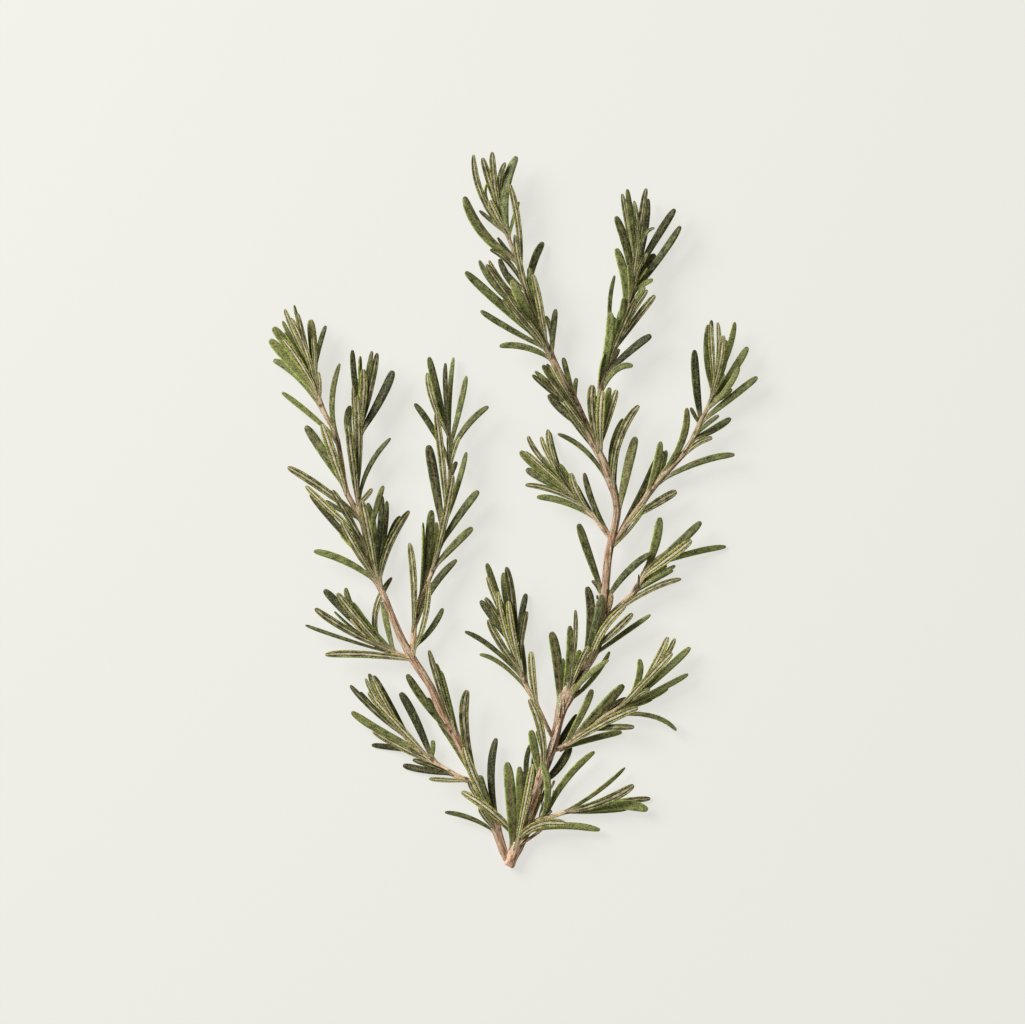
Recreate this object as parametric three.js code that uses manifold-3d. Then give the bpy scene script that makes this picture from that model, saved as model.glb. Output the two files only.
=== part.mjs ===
// A cut branch of rosemary, lying on a table.
//
// One woody stem forks just above its cut end. The two limbs carry side shoots, and every
// shoot carries narrow, needle-like leaves with rolled margins. The branch is one rigid
// thing: it grew in one piece, so nothing here moves.
//
// Frame: millimetres. +Z points up from the table, and the table is at Z = 0. +Y runs from
// the cut end towards the tips. The origin lies under the middle of the branch.

import * as THREE from "three";
import { mergeVertices } from "three/addons/utils/BufferGeometryUtils.js";
import Module from "manifold-3d";

// ---------------------------------------------------------------- driving dimensions

const GAP = 0.3; // clear space between one piece and the next
const SHEATH_WALL = 0.5; // clasping leaf bases that run along the stem
const WOODY_SIDES = 6;
const SHOOT_SIDES = 5;
const WOODY_RADIUS = 1.5; // a stem that starts thicker than this is woody
const LEAF_THICKNESS = 1.1; // flat upper side to the keel of the midrib
const LEAF_FLOOR = 0.05; // the lowest that any leaf margin comes above the table

// Leaf outline: share of the length, and the width there as a share of the widest width.
const LEAF_STATIONS = [
  { along: 0, width: 0.5 },
  { along: 0.6, width: 1 },
  { along: 1, width: 0 },
];

// How a leaf leaves its stem and climbs. `side` and `top` place its foot on the stem, as
// shares of the stem's radius. `middle` and `tip` are heights above the stem's own height.
// `roll` turns the blade about its length: half a turn shows the pale underside.
const UPPER_SIDE_UP = { side: 0.9, top: 0.2, middle: 0.9, tip: 1.6, roll: 0.2 };
const UNDERSIDE_UP = { side: 0.4, top: 0.9, middle: 3.6, tip: 5.6, roll: Math.PI };
const EDGE_UP = { side: 0.7, top: 0.6, middle: 2.4, tip: 3.4, roll: 1.2 };
const DROOPING = { side: 0.8, top: -0.5, middle: -2.4, tip: -5, roll: 0.1 };
const POSES = { T: UPPER_SIDE_UP, U: UNDERSIDE_UP, E: EDGE_UP, D: DROOPING };

const COLOURS = {
  bark: 0xa98c72,
  youngStem: 0x9a8f66,
  leaf: 0x55653a,
};

// ---------------------------------------------------------------- stems
// Each point is [x, y, height of the centre line, radius]. A side shoot starts inside its
// parent and is trimmed back to the parent's bark.

const MAIN_STEM = [
  [-1.4, -142.6, 3.2, 2.1],
  [0.3, -138, 3.3, 2.3],
  [2.9, -133, 3.3, 2.3],
  [5.8, -126, 3.4, 2.1],
  [9.6, -113.5, 3.8, 2],
  [13, -102.5, 4.4, 1.9],
  [16.3, -94, 5, 1.9],
  [19.2, -81.5, 5.8, 2.1],
  [21.3, -75.5, 6.1, 2.5],
  [24.4, -70, 6.5, 2.3],
  [29.5, -62, 7, 1.8],
  [35, -50, 7.6, 1.7],
  [36.9, -34, 8.2, 1.6],
  [38.3, -18, 8.6, 1.6],
  [41.2, -5, 8.9, 1.5],
  [41.6, 3, 9, 1.5],
  [38.2, 15, 9.2, 1.7],
  [32.5, 27, 9.2, 1.6],
  [28.3, 36, 9.2, 1.6],
  [24.2, 45, 9.2, 1.4],
  [18.9, 55, 9.2, 1.4],
  [14, 65, 9.1, 1.2],
  [9.5, 76, 9, 1.1],
  [6, 86, 8.8, 1],
  [3, 97, 8.6, 0.9],
  [-0.8, 107, 8.4, 0.8],
  [-4.5, 116, 8.2, 0.6],
  [-5.3, 121, 8.2, 0.5],
];

const LEFT_STEM = [
  [-2.2, -140, 2.8, 1.4],
  [-4.1, -135.3, 2.8, 1.7],
  [-7.3, -125, 3.1, 1.8],
  [-11.2, -116.5, 3.5, 1.7],
  [-15.5, -106, 4, 1.6],
  [-20.5, -95, 4.6, 1.6],
  [-24.5, -87, 5, 1.6],
  [-29, -79.7, 5.4, 1.6],
  [-33, -70.3, 5.8, 1.6],
  [-39.4, -60, 6.3, 1.7],
  [-43.9, -52.2, 6.6, 1.5],
  [-47, -45.2, 6.9, 1.4],
  [-50.9, -35.2, 7.2, 1.3],
  [-55, -26, 7.5, 1.3],
  [-57.8, -16, 7.8, 1.2],
  [-60, -5, 8, 1.2],
  [-63.8, 2.2, 8.1, 1.2],
  [-66.8, 9, 8.1, 1.1],
  [-68.8, 22, 8, 1],
  [-71.1, 30.8, 7.9, 1],
  [-75.6, 40, 7.8, 1],
  [-78.4, 48, 7.7, 1],
  [-80.5, 58, 7.7, 0.6],
];

const INNER_LEFT_SHOOT = [
  [-60.6, -4.5, 8.4, 1],
  [-61.7, 3, 9, 1],
  [-62, 12, 9.3, 0.9],
  [-61.7, 26, 9.3, 0.8],
  [-60, 38, 9.2, 0.7],
  [-59.5, 42, 9.2, 0.5],
];

const LONG_LEFT_SHOOT = [
  [-40.2, -58.5, 6.6, 1.2],
  [-39.5, -51, 7.2, 1.2],
  [-39.2, -46, 7.6, 1.1],
  [-36.7, -35, 8.2, 1.1],
  [-33.2, -27, 8.6, 1],
  [-30.6, -20, 8.9, 1],
  [-28.3, -9, 9.2, 0.9],
  [-26.5, 2, 9.4, 0.8],
  [-25.2, 15, 9.4, 0.7],
  [-25.5, 28, 9.3, 0.6],
  [-26.2, 35, 9.3, 0.5],
];

const LEFT_SIDE_SHOOT = [
  [-40.5, -59.5, 6, 1.1],
  [-45.9, -57.6, 6, 1.1],
  [-50, -56, 5.8, 1],
  [-54.5, -54, 5.6, 0.9],
  [-60, -49.5, 5.4, 0.7],
  [-65, -43.5, 5.3, 0.5],
];

const LOW_LEFT_SHOOT = [
  [-15.5, -108.8, 4, 1.2],
  [-20.5, -107.2, 4.2, 1.1],
  [-26.5, -104, 4.4, 1.1],
  [-32, -100.2, 4.6, 1],
  [-37.6, -95.5, 4.8, 0.9],
  [-44, -89.5, 4.9, 0.8],
  [-49, -84, 5, 0.5],
];

const INNER_SHOOT = [
  [16.6, -92, 5.2, 0.9],
  [13.6, -86, 5.6, 0.9],
  [9.8, -78, 6, 0.9],
  [7, -73, 6.3, 0.9],
  [4.5, -67.5, 6.5, 0.8],
  [2.6, -61.5, 6.7, 0.8],
  [0.8, -54, 6.8, 0.6],
  [-0.8, -47, 6.8, 0.5],
];

const MID_LEFT_SHOOT = [
  [39.2, -11, 8.6, 1],
  [36, -7, 8.4, 1],
  [33.2, -3, 8.2, 1],
  [29.5, 0.5, 8, 0.9],
  [26, 4.5, 7.8, 0.8],
  [22.5, 8.5, 7.7, 0.7],
  [19, 13, 7.6, 0.5],
];

const TOP_RIGHT_SHOOT = [
  [34.5, 22.5, 9.3, 1.4],
  [34.8, 30, 9.8, 1.3],
  [34.6, 40, 10, 1.2],
  [35.2, 49, 10, 1.2],
  [37.2, 57, 10, 1.1],
  [40.2, 65.5, 10, 1],
  [43.6, 74, 9.8, 1],
  [46.8, 83, 9.6, 0.9],
  [49.2, 92, 9.4, 0.8],
  [50.3, 100, 9.3, 0.6],
];

const RIGHT_UPPER_SHOOT = [
  [39.8, -14, 8.4, 1.3],
  [42.5, -10.5, 8.3, 1.3],
  [46.5, -4.5, 8.1, 1.3],
  [50.5, 1, 7.9, 1.3],
  [55.5, 8, 7.6, 1.2],
  [60, 13.5, 7.4, 1.2],
  [66, 20, 7.2, 1.1],
  [70, 25, 7, 1.1],
  [73, 30.5, 6.9, 1],
  [76, 37, 6.8, 0.9],
  [79.3, 44, 6.8, 0.8],
  [81.5, 51, 6.8, 0.6],
];

const RIGHT_MID_SHOOT = [
  [35.2, -47, 7.7, 1],
  [39, -42, 7.5, 1],
  [43, -38, 7.4, 1],
  [47, -34.3, 7.2, 1.1],
  [50.5, -29.8, 7, 1.2],
  [53, -24.5, 6.9, 1],
  [57, -20, 6.8, 0.8],
  [62, -16, 6.8, 0.5],
];

const RIGHT_LOW_SHOOT = [
  [15.7, -96, 4.9, 1],
  [20.5, -94.6, 4.9, 1],
  [25, -91.5, 4.9, 1],
  [30, -87.5, 4.9, 0.9],
  [36, -83, 4.9, 0.9],
  [42, -79.5, 4.9, 0.8],
  [48, -75.5, 4.9, 0.7],
  [54, -70, 4.9, 0.5],
];

const BASE_RIGHT_SHOOT = [
  [6.5, -125.5, 3.2, 1],
  [12, -123.6, 3.2, 0.9],
  [17.5, -122, 3.3, 0.9],
  [22.5, -120.6, 3.4, 0.8],
  [28, -120.1, 3.5, 0.7],
  [34, -119.8, 3.6, 0.5],
];

// ---------------------------------------------------------------- leaves
// Each leaf is [foot x, foot y, middle x, middle y, tip x, tip y, width, pose, lift]. The
// foot is moved to the nearest point of the stem: to the side that the tip is on, or to its
// own side if it is listed clear of the bark. `lift` raises the middle and the tip.

const BASE_LEAVES = [
  [0, -134, -0.5, -117, -2.2, -100.4, 4.2, "T", 5.5],
  [3.5, -130, 2.8, -116, 2.8, -102.5, 3, "D"],
  [8, -120, 4.6, -111, 4.1, -104.5, 1.6, "D"],
  [9, -115, 5.2, -104, 7.3, -93.5, 2, "D"],
  [1.5, -133, 5.5, -115, 8.1, -101.2, 2.6, "U"],
  [2.5, -131.5, -8, -120.6, -20.6, -112.5, 3.2, "D", 8],
  [1.2, -130.6, 10.2, -125.4, 21.3, -125.2, 3.4, "U"],
  [5.2, -127.4, 20, -126, 35.2, -128, 2.8, "T", -1],
  [9.3, -114.5, 8.6, -106, 8.6, -98, 2.4, "D"],
];

const LOWER_MAIN_LEAVES = [
  [12, -105, 9, -96, 7.3, -87.8, 3.2, "T"],
  [14, -100, 11.5, -93, 9.8, -88.2, 2, "D"],
  [13, -108.5, 18.7, -102.8, 23.4, -94.2, 3.2, "D"],
  [13, -102, 11.6, -88, 6.6, -75.2, 3, "U"],
];

const LEFT_LOWER_LEAVES = [
  [-11, -117.5, -16, -105.2, -19.4, -94.6, 3.3, "U"],
  [-8.2, -121, -11.7, -111.5, -12.9, -105.8, 2.7, "T", 2.5],
  [-8.5, -122.5, -15.4, -113, -17.6, -108, 1.6, "U", -1.5],
  [-6.5, -127.5, -17, -123, -27.2, -120.8, 1.9, "T"],
  [-7, -127, -11.2, -122.6, -13.3, -118.6, 1.9, "U"],
  [-6.5, -127, -8, -122.5, -10.5, -119, 2, "D"],
  [-7.2, -123.5, -8.9, -106, -6.4, -91, 3, "T"],
];

const LEFT_MIDDLE_LEAVES = [
  [-24.5, -87, -34.9, -76.9, -42.3, -65.4, 3.2, "T"],
  [-25.5, -85.5, -31.5, -79.5, -34, -75, 2.2, "D"],
  [-17.2, -104.5, -23.6, -93.8, -30, -84.5, 1.8, "D"],
  [-25, -87, -29, -71, -33.4, -55.6, 2.4, "U", 1],
  [-24.8, -87.5, -27, -74, -30.5, -61, 2.2, "U"],
  [-23.5, -88, -26.5, -74, -29, -64, 2.6, "T"],
  [-15, -104, -19.6, -86, -18, -71.6, 3.6, "U"],
];

const LOW_LEFT_LEAVES = [
  [-33, -98.8, -39, -83.2, -45, -72.8, 3.3, "T"],
  [-32.2, -99, -31.8, -95, -32, -91.9, 1.8, "T"],
  [-43, -91.5, -49.4, -77, -55.6, -66, 2.4, "T"],
  [-43, -90.5, -50.5, -78, -56, -66.5, 2.4, "U"],
  [-45, -88.5, -53, -78, -58.8, -67, 1.8, "U"],
  [-36, -96.5, -47.5, -84, -57.8, -72.5, 2.8, "U"],
  [-44, -89.5, -54, -81, -61, -72.5, 2.2, "T"],
  [-44.5, -89, -56, -79.5, -65, -69.8, 2.2, "U", -2],
  [-48, -85, -53.6, -74, -57.6, -65.3, 2.2, "D"],
  [-39, -94.3, -53.4, -88, -64.5, -80.5, 3, "T"],
  [-32, -99.5, -46, -94.2, -56, -88.3, 2.4, "T"],
  [-37, -96, -48, -95, -56.5, -94, 2.2, "D"],
  [-25, -104, -33, -102, -40, -99.5, 2, "U"],
  [-25, -104, -36, -103.9, -44, -102.1, 2.6, "D"],
  [-19, -108.6, -26.5, -107.9, -33.5, -107.2, 1.8, "U", -2],
];

const LEFT_SIDE_LEAVES = [
  [-51, -55.6, -70, -50.5, -83, -45.8, 1.5, "T"],
  [-50, -56, -66.5, -47.6, -79, -39, 2.8, "U"],
  [-60, -49.5, -66.7, -44.8, -71.3, -40.3, 1.6, "E"],
  [-57, -52, -67.5, -40, -75.6, -31.7, 3.2, "D"],
  [-52, -55.2, -63, -42.1, -70.1, -32.9, 2.7, "U"],
  [-55, -53.6, -63.5, -41, -66.7, -30.8, 2.4, "T"],
  [-49, -56.2, -58, -46.4, -64.3, -36.6, 3, "T"],
  [-42, -59.6, -60, -57.4, -75, -57.7, 2.8, "U", -2],
  [-52.6, -54.7, -55.6, -41.5, -48.2, -26.7, 2.4, "D"],
  [-48, -56.6, -50.2, -46.5, -52, -36.5, 2.4, "D"],
];

const LEFT_UPPER_LEAVES = [
  [-67, 9, -71.7, 22, -76, 34.6, 3.4, "U"],
  [-67.5, 11, -75.5, 23, -83, 34, 3.6, "D"],
  [-62, -2, -76.7, 9.3, -90, 17.4, 3, "U", -1],
  [-58, -15, -66, -1.8, -72, 8.2, 2.6, "U"],
  [-58.6, -12, -72, -0.5, -82.8, 10, 2.4, "U"],
  [-56.6, -20, -69.3, -7.3, -81.3, 6.5, 2.4, "D"],
  [-55, -26, -62.5, -15.5, -68.3, -4, 2.8, "U"],
  [-57, -18.5, -64, -14.8, -69.5, -8.5, 1.8, "E"],
  [-61.5, -2.5, -69.5, 0.5, -75, 4, 1.8, "D"],
  [-54.5, -27, -66.8, -20.1, -79.6, -16.2, 2.8, "T"],
  [-54.8, -26, -57.2, -10, -60.2, 4.3, 3, "U", 2],
  [-56.3, -21, -55.3, -8, -58.2, 3.2, 2.4, "D"],
  [-58.6, -12, -54.5, 1.2, -51.6, 10, 2.2, "T"],
  [-55.8, -23, -53, -9, -52.1, 6, 2.4, "T"],
  [-54.6, -26.5, -51.3, -10, -50.4, 4, 2.2, "D"],
  [-53.6, -28.5, -49.2, -13, -41.1, 0, 2.8, "U"],
  [-54, -28, -49.4, -11, -44.8, -2.3, 2.4, "D"],
  [-57.5, -19, -61, -13.5, -64, -8.5, 1.8, "D"],
];

const LEFT_TIP_LEAVES = [
  [-80, 57, -84.5, 71, -87.3, 82.2, 2.2, "E"],
  [-80.3, 57, -86.4, 69, -91, 80.5, 2, "U"],
  [-79.8, 56, -87.8, 67.5, -92.1, 76, 1.8, "D"],
  [-80, 56, -83.2, 67.5, -85.8, 78.9, 2, "U"],
  [-79, 52, -82.8, 65, -88.8, 77, 2.4, "U"],
  [-79.5, 54, -79.8, 66, -80.8, 76.5, 3.4, "T"],
  [-79.8, 55, -77.4, 65.5, -74.6, 74, 2, "T"],
  [-79, 52, -79, 61, -79.7, 69.2, 1.8, "U"],
  [-79, 51, -88.5, 64, -95.8, 73.3, 3.6, "T"],
  [-78.3, 48, -88.5, 59, -97.2, 68.5, 3.8, "T", -1.5],
  [-78.5, 49, -85.3, 59.7, -91.7, 68.3, 2.6, "U"],
  [-78.7, 50, -85, 62, -91.2, 71.3, 1.8, "E"],
  [-76.3, 42, -86, 54.3, -96, 60.2, 3, "D"],
  [-77.5, 45, -77, 50, -77.6, 55.5, 1.6, "U"],
  [-71, 30.5, -82, 39.4, -92.3, 47.3, 2.2, "T"],
  [-70.5, 28, -72.6, 42, -69, 59, 2.2, "T"],
];

const INNER_LEFT_LEAVES = [
  [-60.3, 36, -63.1, 51, -64, 64.3, 2.3, "T"],
  [-60, 38, -60.8, 50, -60.8, 61.8, 2.6, "E"],
  [-60.4, 35, -59.4, 46, -59.6, 56.5, 3, "U"],
  [-59.6, 41, -57.8, 54, -56.1, 63.8, 1.9, "T"],
  [-59.6, 41, -58.4, 52, -57.2, 61, 1.6, "D"],
  [-60.4, 35, -56.8, 48.6, -54, 63, 2.6, "U"],
  [-60.8, 32, -52.4, 45.2, -47.8, 56, 3.5, "T"],
  [-61.8, 22, -66, 33, -64.8, 42, 3, "D"],
  [-61.7, 5, -63.9, 20, -65.6, 34, 3, "U"],
  [-62, 12, -61.2, 29, -61.8, 46, 2.8, "U", 1],
  [-61.8, 22, -63.1, 36, -63.8, 50, 1.8, "T"],
  [-61.8, 6, -57.2, 18.2, -48.6, 29, 2, "T"],
  [-60, 38, -62, 46, -62.3, 53, 1.6, "D"],
  [-61.5, 3, -58.8, 5.2, -56, 8.8, 2, "U"],
];

const LONG_LEFT_LOWER_LEAVES = [
  [-31, -21, -26.6, -2, -23.9, 14.4, 2.8, "U"],
  [-29, -12.5, -20, 0, -13.5, 7.9, 3, "T"],
  [-31, -21, -22.8, -13.2, -15.9, -6.8, 3, "T"],
  [-34, -29, -33.4, -13, -32.4, 0.3, 3.3, "T"],
  [-37, -33, -35.6, -18, -35.8, -4.6, 2, "E"],
  [-32, -24, -31, -13, -30.5, -4.6, 2.2, "D"],
  [-39.2, -45.5, -39.4, -28, -41.2, -12.7, 2.6, "U"],
  [-38.4, -42, -32.2, -30.6, -22.2, -19.6, 2.8, "T"],
  [-38.5, -54, -32.4, -47.3, -27.8, -39, 2.3, "T"],
  [-38.8, -56, -34.8, -43, -33.3, -27.4, 2.2, "U"],
];

const LONG_LEFT_UPPER_LEAVES = [
  [-27, 33, -30.3, 48, -33.4, 61.5, 2.9, "T"],
  [-25.8, 31, -32, 43.5, -34, 55.1, 2.1, "U"],
  [-26, 33, -26.8, 46, -26.8, 59.1, 1.9, "T"],
  [-25.6, 29, -25.2, 46, -23.6, 61.5, 1.9, "D"],
  [-25.4, 26, -21.2, 40.5, -18.4, 53.9, 2.3, "T"],
  [-25.2, 23, -18, 34.4, -9.5, 41.6, 2.5, "T", 1],
  [-25.3, 21, -32.4, 33.5, -39.2, 42.8, 2.5, "T"],
  [-26.3, 3, -28.4, 22, -30.6, 39.2, 2.7, "U", 1],
  [-25.3, 18, -25.4, 25, -25.7, 29.4, 1.6, "U"],
  [-25.2, 17, -23.4, 24.4, -21.1, 29.4, 2, "U"],
  [-27.6, -5.2, -31.3, 13, -33.7, 26.3, 3.8, "D"],
  [-27.4, -4.5, -22.2, 9, -18.4, 23.5, 2.2, "T"],
  [-25.6, 12, -24, 16, -22.3, 19.6, 2, "D"],
];

const INNER_LEAVES = [
  [-0.6, -48, -6.4, -33, -10.3, -21, 2.6, "T"],
  [-0.2, -49.5, -6.6, -36, -10.1, -26.3, 2, "U"],
  [2.4, -61, -3.6, -46, -5.8, -32.3, 2.4, "U"],
  [0.8, -54, -6.4, -41.5, -11, -34.8, 2.2, "U"],
  [0.8, -54, -8, -43, -12.8, -36, 2.6, "D"],
  [3.3, -63.5, -4.4, -54, -9.8, -43.5, 2.8, "U"],
  [4, -66, -8.3, -54.5, -19.2, -48.4, 2, "T"],
  [5.5, -71, -4.3, -61.2, -13.3, -57.6, 1.8, "T"],
  [1.2, -55.5, 0.2, -37, -2.5, -22.4, 2.8, "U", 1],
  [0, -50.5, -3, -35, -3.6, -24.8, 2.2, "D"],
  [2.6, -62, -0.2, -48, -1.6, -36, 2.6, "U", 2],
  [0.8, -54, 3.7, -41.5, 5.4, -33.2, 2.4, "D"],
  [2.4, -60.5, 4, -48.5, 5.8, -40.2, 2.2, "U"],
  [5, -68.5, 4.1, -57, 2.8, -50, 2, "D"],
  [9.2, -77, 7.9, -66, 7.4, -56.2, 2.8, "U"],
];

const MIDDLE_LEAVES = [
  [20.5, -76.5, 18.1, -61, 15.5, -48.4, 3.8, "T"],
  [21.5, -74.5, 20.7, -65, 20.2, -59.2, 1.4, "D"],
  [22.5, -73, 23, -57, 22.8, -46, 2.8, "T"],
  [23, -72, 24.9, -55, 25.1, -39.5, 1.8, "U"],
  [25, -69, 25.5, -61.5, 27, -55.8, 2.4, "D"],
  [30.2, -60, 31.6, -43, 29.8, -30.4, 3.4, "D"],
  [30.5, -58.5, 33.2, -46.3, 35.8, -33.4, 3.1, "T", 3],
  [24.5, -69.8, 27, -61, 30.5, -54, 2.4, "U"],
  [27, -65.7, 29.2, -59.5, 32.5, -54, 2.2, "D"],
  [37, -32, 30.1, -16.5, 26.4, -5.2, 3.2, "T"],
  [36.8, -35, 34, -30.3, 31.8, -28.2, 1.6, "D"],
  [36.9, -34.5, 45.8, -24.4, 55.5, -17, 2.8, "T"],
  [20.4, -72.4, 29.4, -66.3, 38.5, -59.6, 2.1, "U"],
  [21.5, -74.5, 32.4, -67.2, 39, -56.4, 2, "D"],
  [32, -56.5, 43.9, -49.5, 55.3, -41.6, 2.1, "T"],
  [33, -54, 41.7, -47.4, 48, -41, 2.6, "U"],
  [33.5, -53, 36, -51.8, 38, -50.3, 1.8, "D"],
  [34.5, -51, 39.3, -44.6, 45, -38.8, 1.4, "E"],
  [30.2, -59.5, 35.9, -47.7, 45.3, -38, 2.8, "U", 1],
  [37.2, -42.5, 39, -37.5, 39.4, -33, 2, "T", 1.5],
];

const RIGHT_LOW_LEAVES = [
  [17.5, -95.5, 21.9, -88.6, 26.2, -81.7, 3, "D"],
  [22, -93.6, 28, -81, 31.9, -71.5, 2.8, "T"],
  [26, -90.5, 35.8, -79, 44.6, -69.7, 3.8, "T"],
  [30, -87.5, 38, -80.3, 46, -75.3, 2.8, "D"],
  [24, -92, 37.5, -84.3, 50.3, -78.8, 3, "U"],
  [38, -81.5, 54.8, -81.6, 65.7, -88.2, 1.9, "T", -1],
  [30, -87.5, 39.5, -86.7, 48.8, -86.6, 2.4, "U", -1.5],
  [21, -94.2, 33, -91.1, 44, -88.8, 2.5, "D"],
];

const RIGHT_LOW_TIP_LEAVES = [
  [47, -76, 50.8, -67, 50.7, -59.4, 2.6, "T"],
  [49.5, -74, 57, -61.6, 62.2, -50.4, 2.6, "U"],
  [51, -72.6, 60, -60.5, 65, -51.1, 2.2, "T"],
  [44, -78, 54.2, -67, 63.9, -56.7, 2.8, "U", 2],
  [50, -73.5, 62, -63.4, 71.2, -54.7, 2.8, "T"],
  [44, -78, 58.6, -71.8, 70.4, -65.4, 2.3, "T"],
  [42, -79.5, 52.7, -76, 62.5, -71, 2.6, "D"],
  [42, -79.5, 49.5, -78, 56.2, -75.6, 1.6, "D"],
  [46, -76.8, 51, -73.3, 55, -71.3, 1.8, "U"],
];

const BASE_RIGHT_LEAVES = [
  [12.4, -123.4, 14.4, -111.5, 11.6, -100.2, 2.7, "T", 4.5],
  [13.6, -122.8, 20.6, -108.3, 33, -96.4, 2.7, "T", 1],
  [22, -120.7, 33.4, -113.2, 45.2, -102.8, 1.8, "T"],
  [24, -120.3, 37, -116.3, 48.6, -109.7, 3.3, "U"],
  [28, -119.8, 42, -117.6, 54.3, -119.9, 3.8, "T"],
  [30, -119.7, 44, -116.6, 55.4, -115.5, 2.4, "D"],
  [22.5, -120.6, 29.5, -118.6, 35, -116.8, 2, "D"],
  [24, -121, 34, -120.7, 46, -119.9, 1.6, "D"],
];

const MID_LEFT_LEAVES = [
  [20.5, 11.3, 10.4, 22, 6.3, 29.9, 2, "T"],
  [19.6, 12.5, 14, 22.5, 11.5, 29.6, 1.8, "T"],
  [20, 12, 15.4, 23.5, 14.2, 32.5, 2.2, "U"],
  [20.5, 11.3, 16.6, 23, 15, 31.5, 1.8, "D"],
  [22.5, 8.5, 10.8, 16.6, 3, 23.8, 3.2, "T"],
  [23, 8, 12.3, 17, 5, 23.5, 2, "U"],
  [24, 7, 13, 12.4, 5.4, 16.6, 3.2, "D"],
  [27.5, 3, 16, 8.3, 5, 10.2, 2.2, "U", -1],
  [30.5, -1, 20, 3.9, 9.6, 5.3, 2.6, "T"],
  [23.5, 7.5, 15.8, 16.5, 12.7, 21.5, 1.6, "E"],
  [24, 7, 17.8, 15.5, 14.7, 21.6, 1.6, "U"],
  [25, 6, 20.4, 13.2, 17.3, 18.4, 2.2, "U"],
  [26, 4.5, 22.2, 12.8, 18.6, 18.6, 2.4, "T"],
  [29.5, 0.5, 25.4, 7.8, 23.3, 15.1, 2.6, "U"],
  [31, -0.8, 27.7, 4.6, 25, 10.8, 2.6, "D"],
  [36.8, -8, 32, 2.8, 28.7, 15.2, 2.4, "T"],
];

const RIGHT_MID_LEAVES = [
  [55, -23, 57.2, -13.7, 59, -2.6, 3.4, "T", 1],
  [56, -21, 66.6, -13.1, 75.5, -4.4, 3.2, "T"],
  [52.5, -26, 63, -18.6, 71.6, -11.7, 3.2, "U"],
  [57, -23, 72, -16.8, 85.7, -14.5, 2.4, "D"],
  [50, -30.5, 58.5, -26, 65.2, -22, 1.8, "T"],
  [42, -40, 54.8, -31.5, 67.6, -27.4, 2.2, "T"],
  [49, -31.8, 57.5, -27.6, 64.5, -24, 1.6, "D"],
  [51.5, -28.5, 57, -25, 62, -22, 1.8, "D"],
];

const RIGHT_UPPER_LEAVES = [
  [45, -6.8, 52.4, 8, 57.8, 21, 3, "D"],
  [55.2, 8, 57.6, 18, 59.2, 27.7, 2.8, "T"],
  [56.5, 9.3, 59.4, 17.5, 60.2, 24, 2, "D"],
  [59.8, 13.5, 60.8, 19.5, 61.6, 24.2, 1.8, "D"],
  [60.5, 14.2, 68, 27.3, 69.6, 41.2, 2.8, "T"],
  [60, 13.5, 75.5, 19.9, 89, 22.3, 2.6, "T"],
  [50, -2, 58.5, 3.6, 65.7, 7.7, 3.2, "T"],
  [46, -5.2, 49.8, -1.7, 53, 2.5, 1.8, "U"],
  [41, -13.3, 47.2, -7.2, 52.8, 0.5, 1.6, "E"],
];

const RIGHT_TIP_LEAVES = [
  [76, 37, 73.5, 50, 72.8, 64.4, 3.2, "T"],
  [75, 35, 72.9, 38, 71.2, 41.2, 1.6, "T"],
  [81, 49.5, 79.4, 64, 79.8, 76.4, 2.2, "D"],
  [80.6, 48, 77.6, 61, 78.3, 74.5, 2.4, "T"],
  [81, 49.5, 79.8, 62, 79, 74.8, 2.2, "U"],
  [81.3, 50.5, 82.6, 63.5, 82, 75.3, 1.8, "U"],
  [80, 46, 82.8, 58, 84.2, 70, 2.6, "U", 1],
  [81.3, 50.5, 86.4, 63.5, 88.9, 75.5, 2.4, "T"],
  [80.5, 47.5, 84.7, 57.5, 85.5, 68.5, 2.2, "D"],
  [79.3, 44, 88, 55.5, 94.1, 65.5, 3, "T"],
  [78, 41, 85.8, 48.6, 90.5, 57.5, 2.3, "U"],
  [76.5, 36.5, 88.9, 46.3, 98, 53.5, 2.8, "T"],
  [79, 43, 84.6, 45.5, 87.9, 48.8, 1.6, "D"],
  [72.5, 29.5, 80, 32.2, 87.4, 37, 2.8, "T"],
  [73, 30.5, 78, 34.8, 82.5, 38, 1.8, "U"],
  [69, 22.5, 74.3, 27.2, 80, 29, 2.2, "T"],
  [80, 46, 82.6, 50.3, 84.8, 54.5, 1.4, "E"],
];

const UPPER_MAIN_LEAVES = [
  [26.8, 39.5, 17, 46.6, 7.8, 54.2, 2.2, "U"],
  [26, 41, 17, 48.5, 8.9, 55.7, 2, "T"],
  [24.2, 45, 17.6, 50.8, 12, 58.2, 2.8, "T"],
  [23.8, 46, 18, 52.2, 13.7, 58.8, 1.8, "D"],
  [25.5, 42, 19.7, 50, 15.3, 58, 2, "U"],
  [29, 34.5, 20.8, 39.4, 14.3, 46.5, 3.2, "D"],
  [28.5, 35.5, 20.6, 44.2, 14, 53, 2.4, "U", 1],
  [30.5, 31.5, 25.2, 37.7, 20.5, 43.8, 2.2, "U"],
  [32.5, 27, 26.9, 32.5, 22, 38.8, 2.2, "T"],
  [23, 47.5, 21.7, 55, 20.3, 61.2, 2.2, "T"],
  [24.2, 45.2, 25, 49.5, 25.7, 53, 1.8, "T"],
];

const BEND_LEAVES = [
  [38.8, 13.5, 29.3, 24.2, 17.9, 30.7, 2, "T", -1],
  [39.5, 11.5, 42.5, 29, 50.6, 42, 3, "U", -1],
  [40, 9.5, 41.6, 24.5, 46.3, 36, 2.2, "D"],
  [39.2, 12.5, 39.3, 24.3, 44.3, 37, 2, "D"],
  [41.5, 2, 46, 17, 49.3, 29.6, 3.6, "T"],
];

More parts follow.
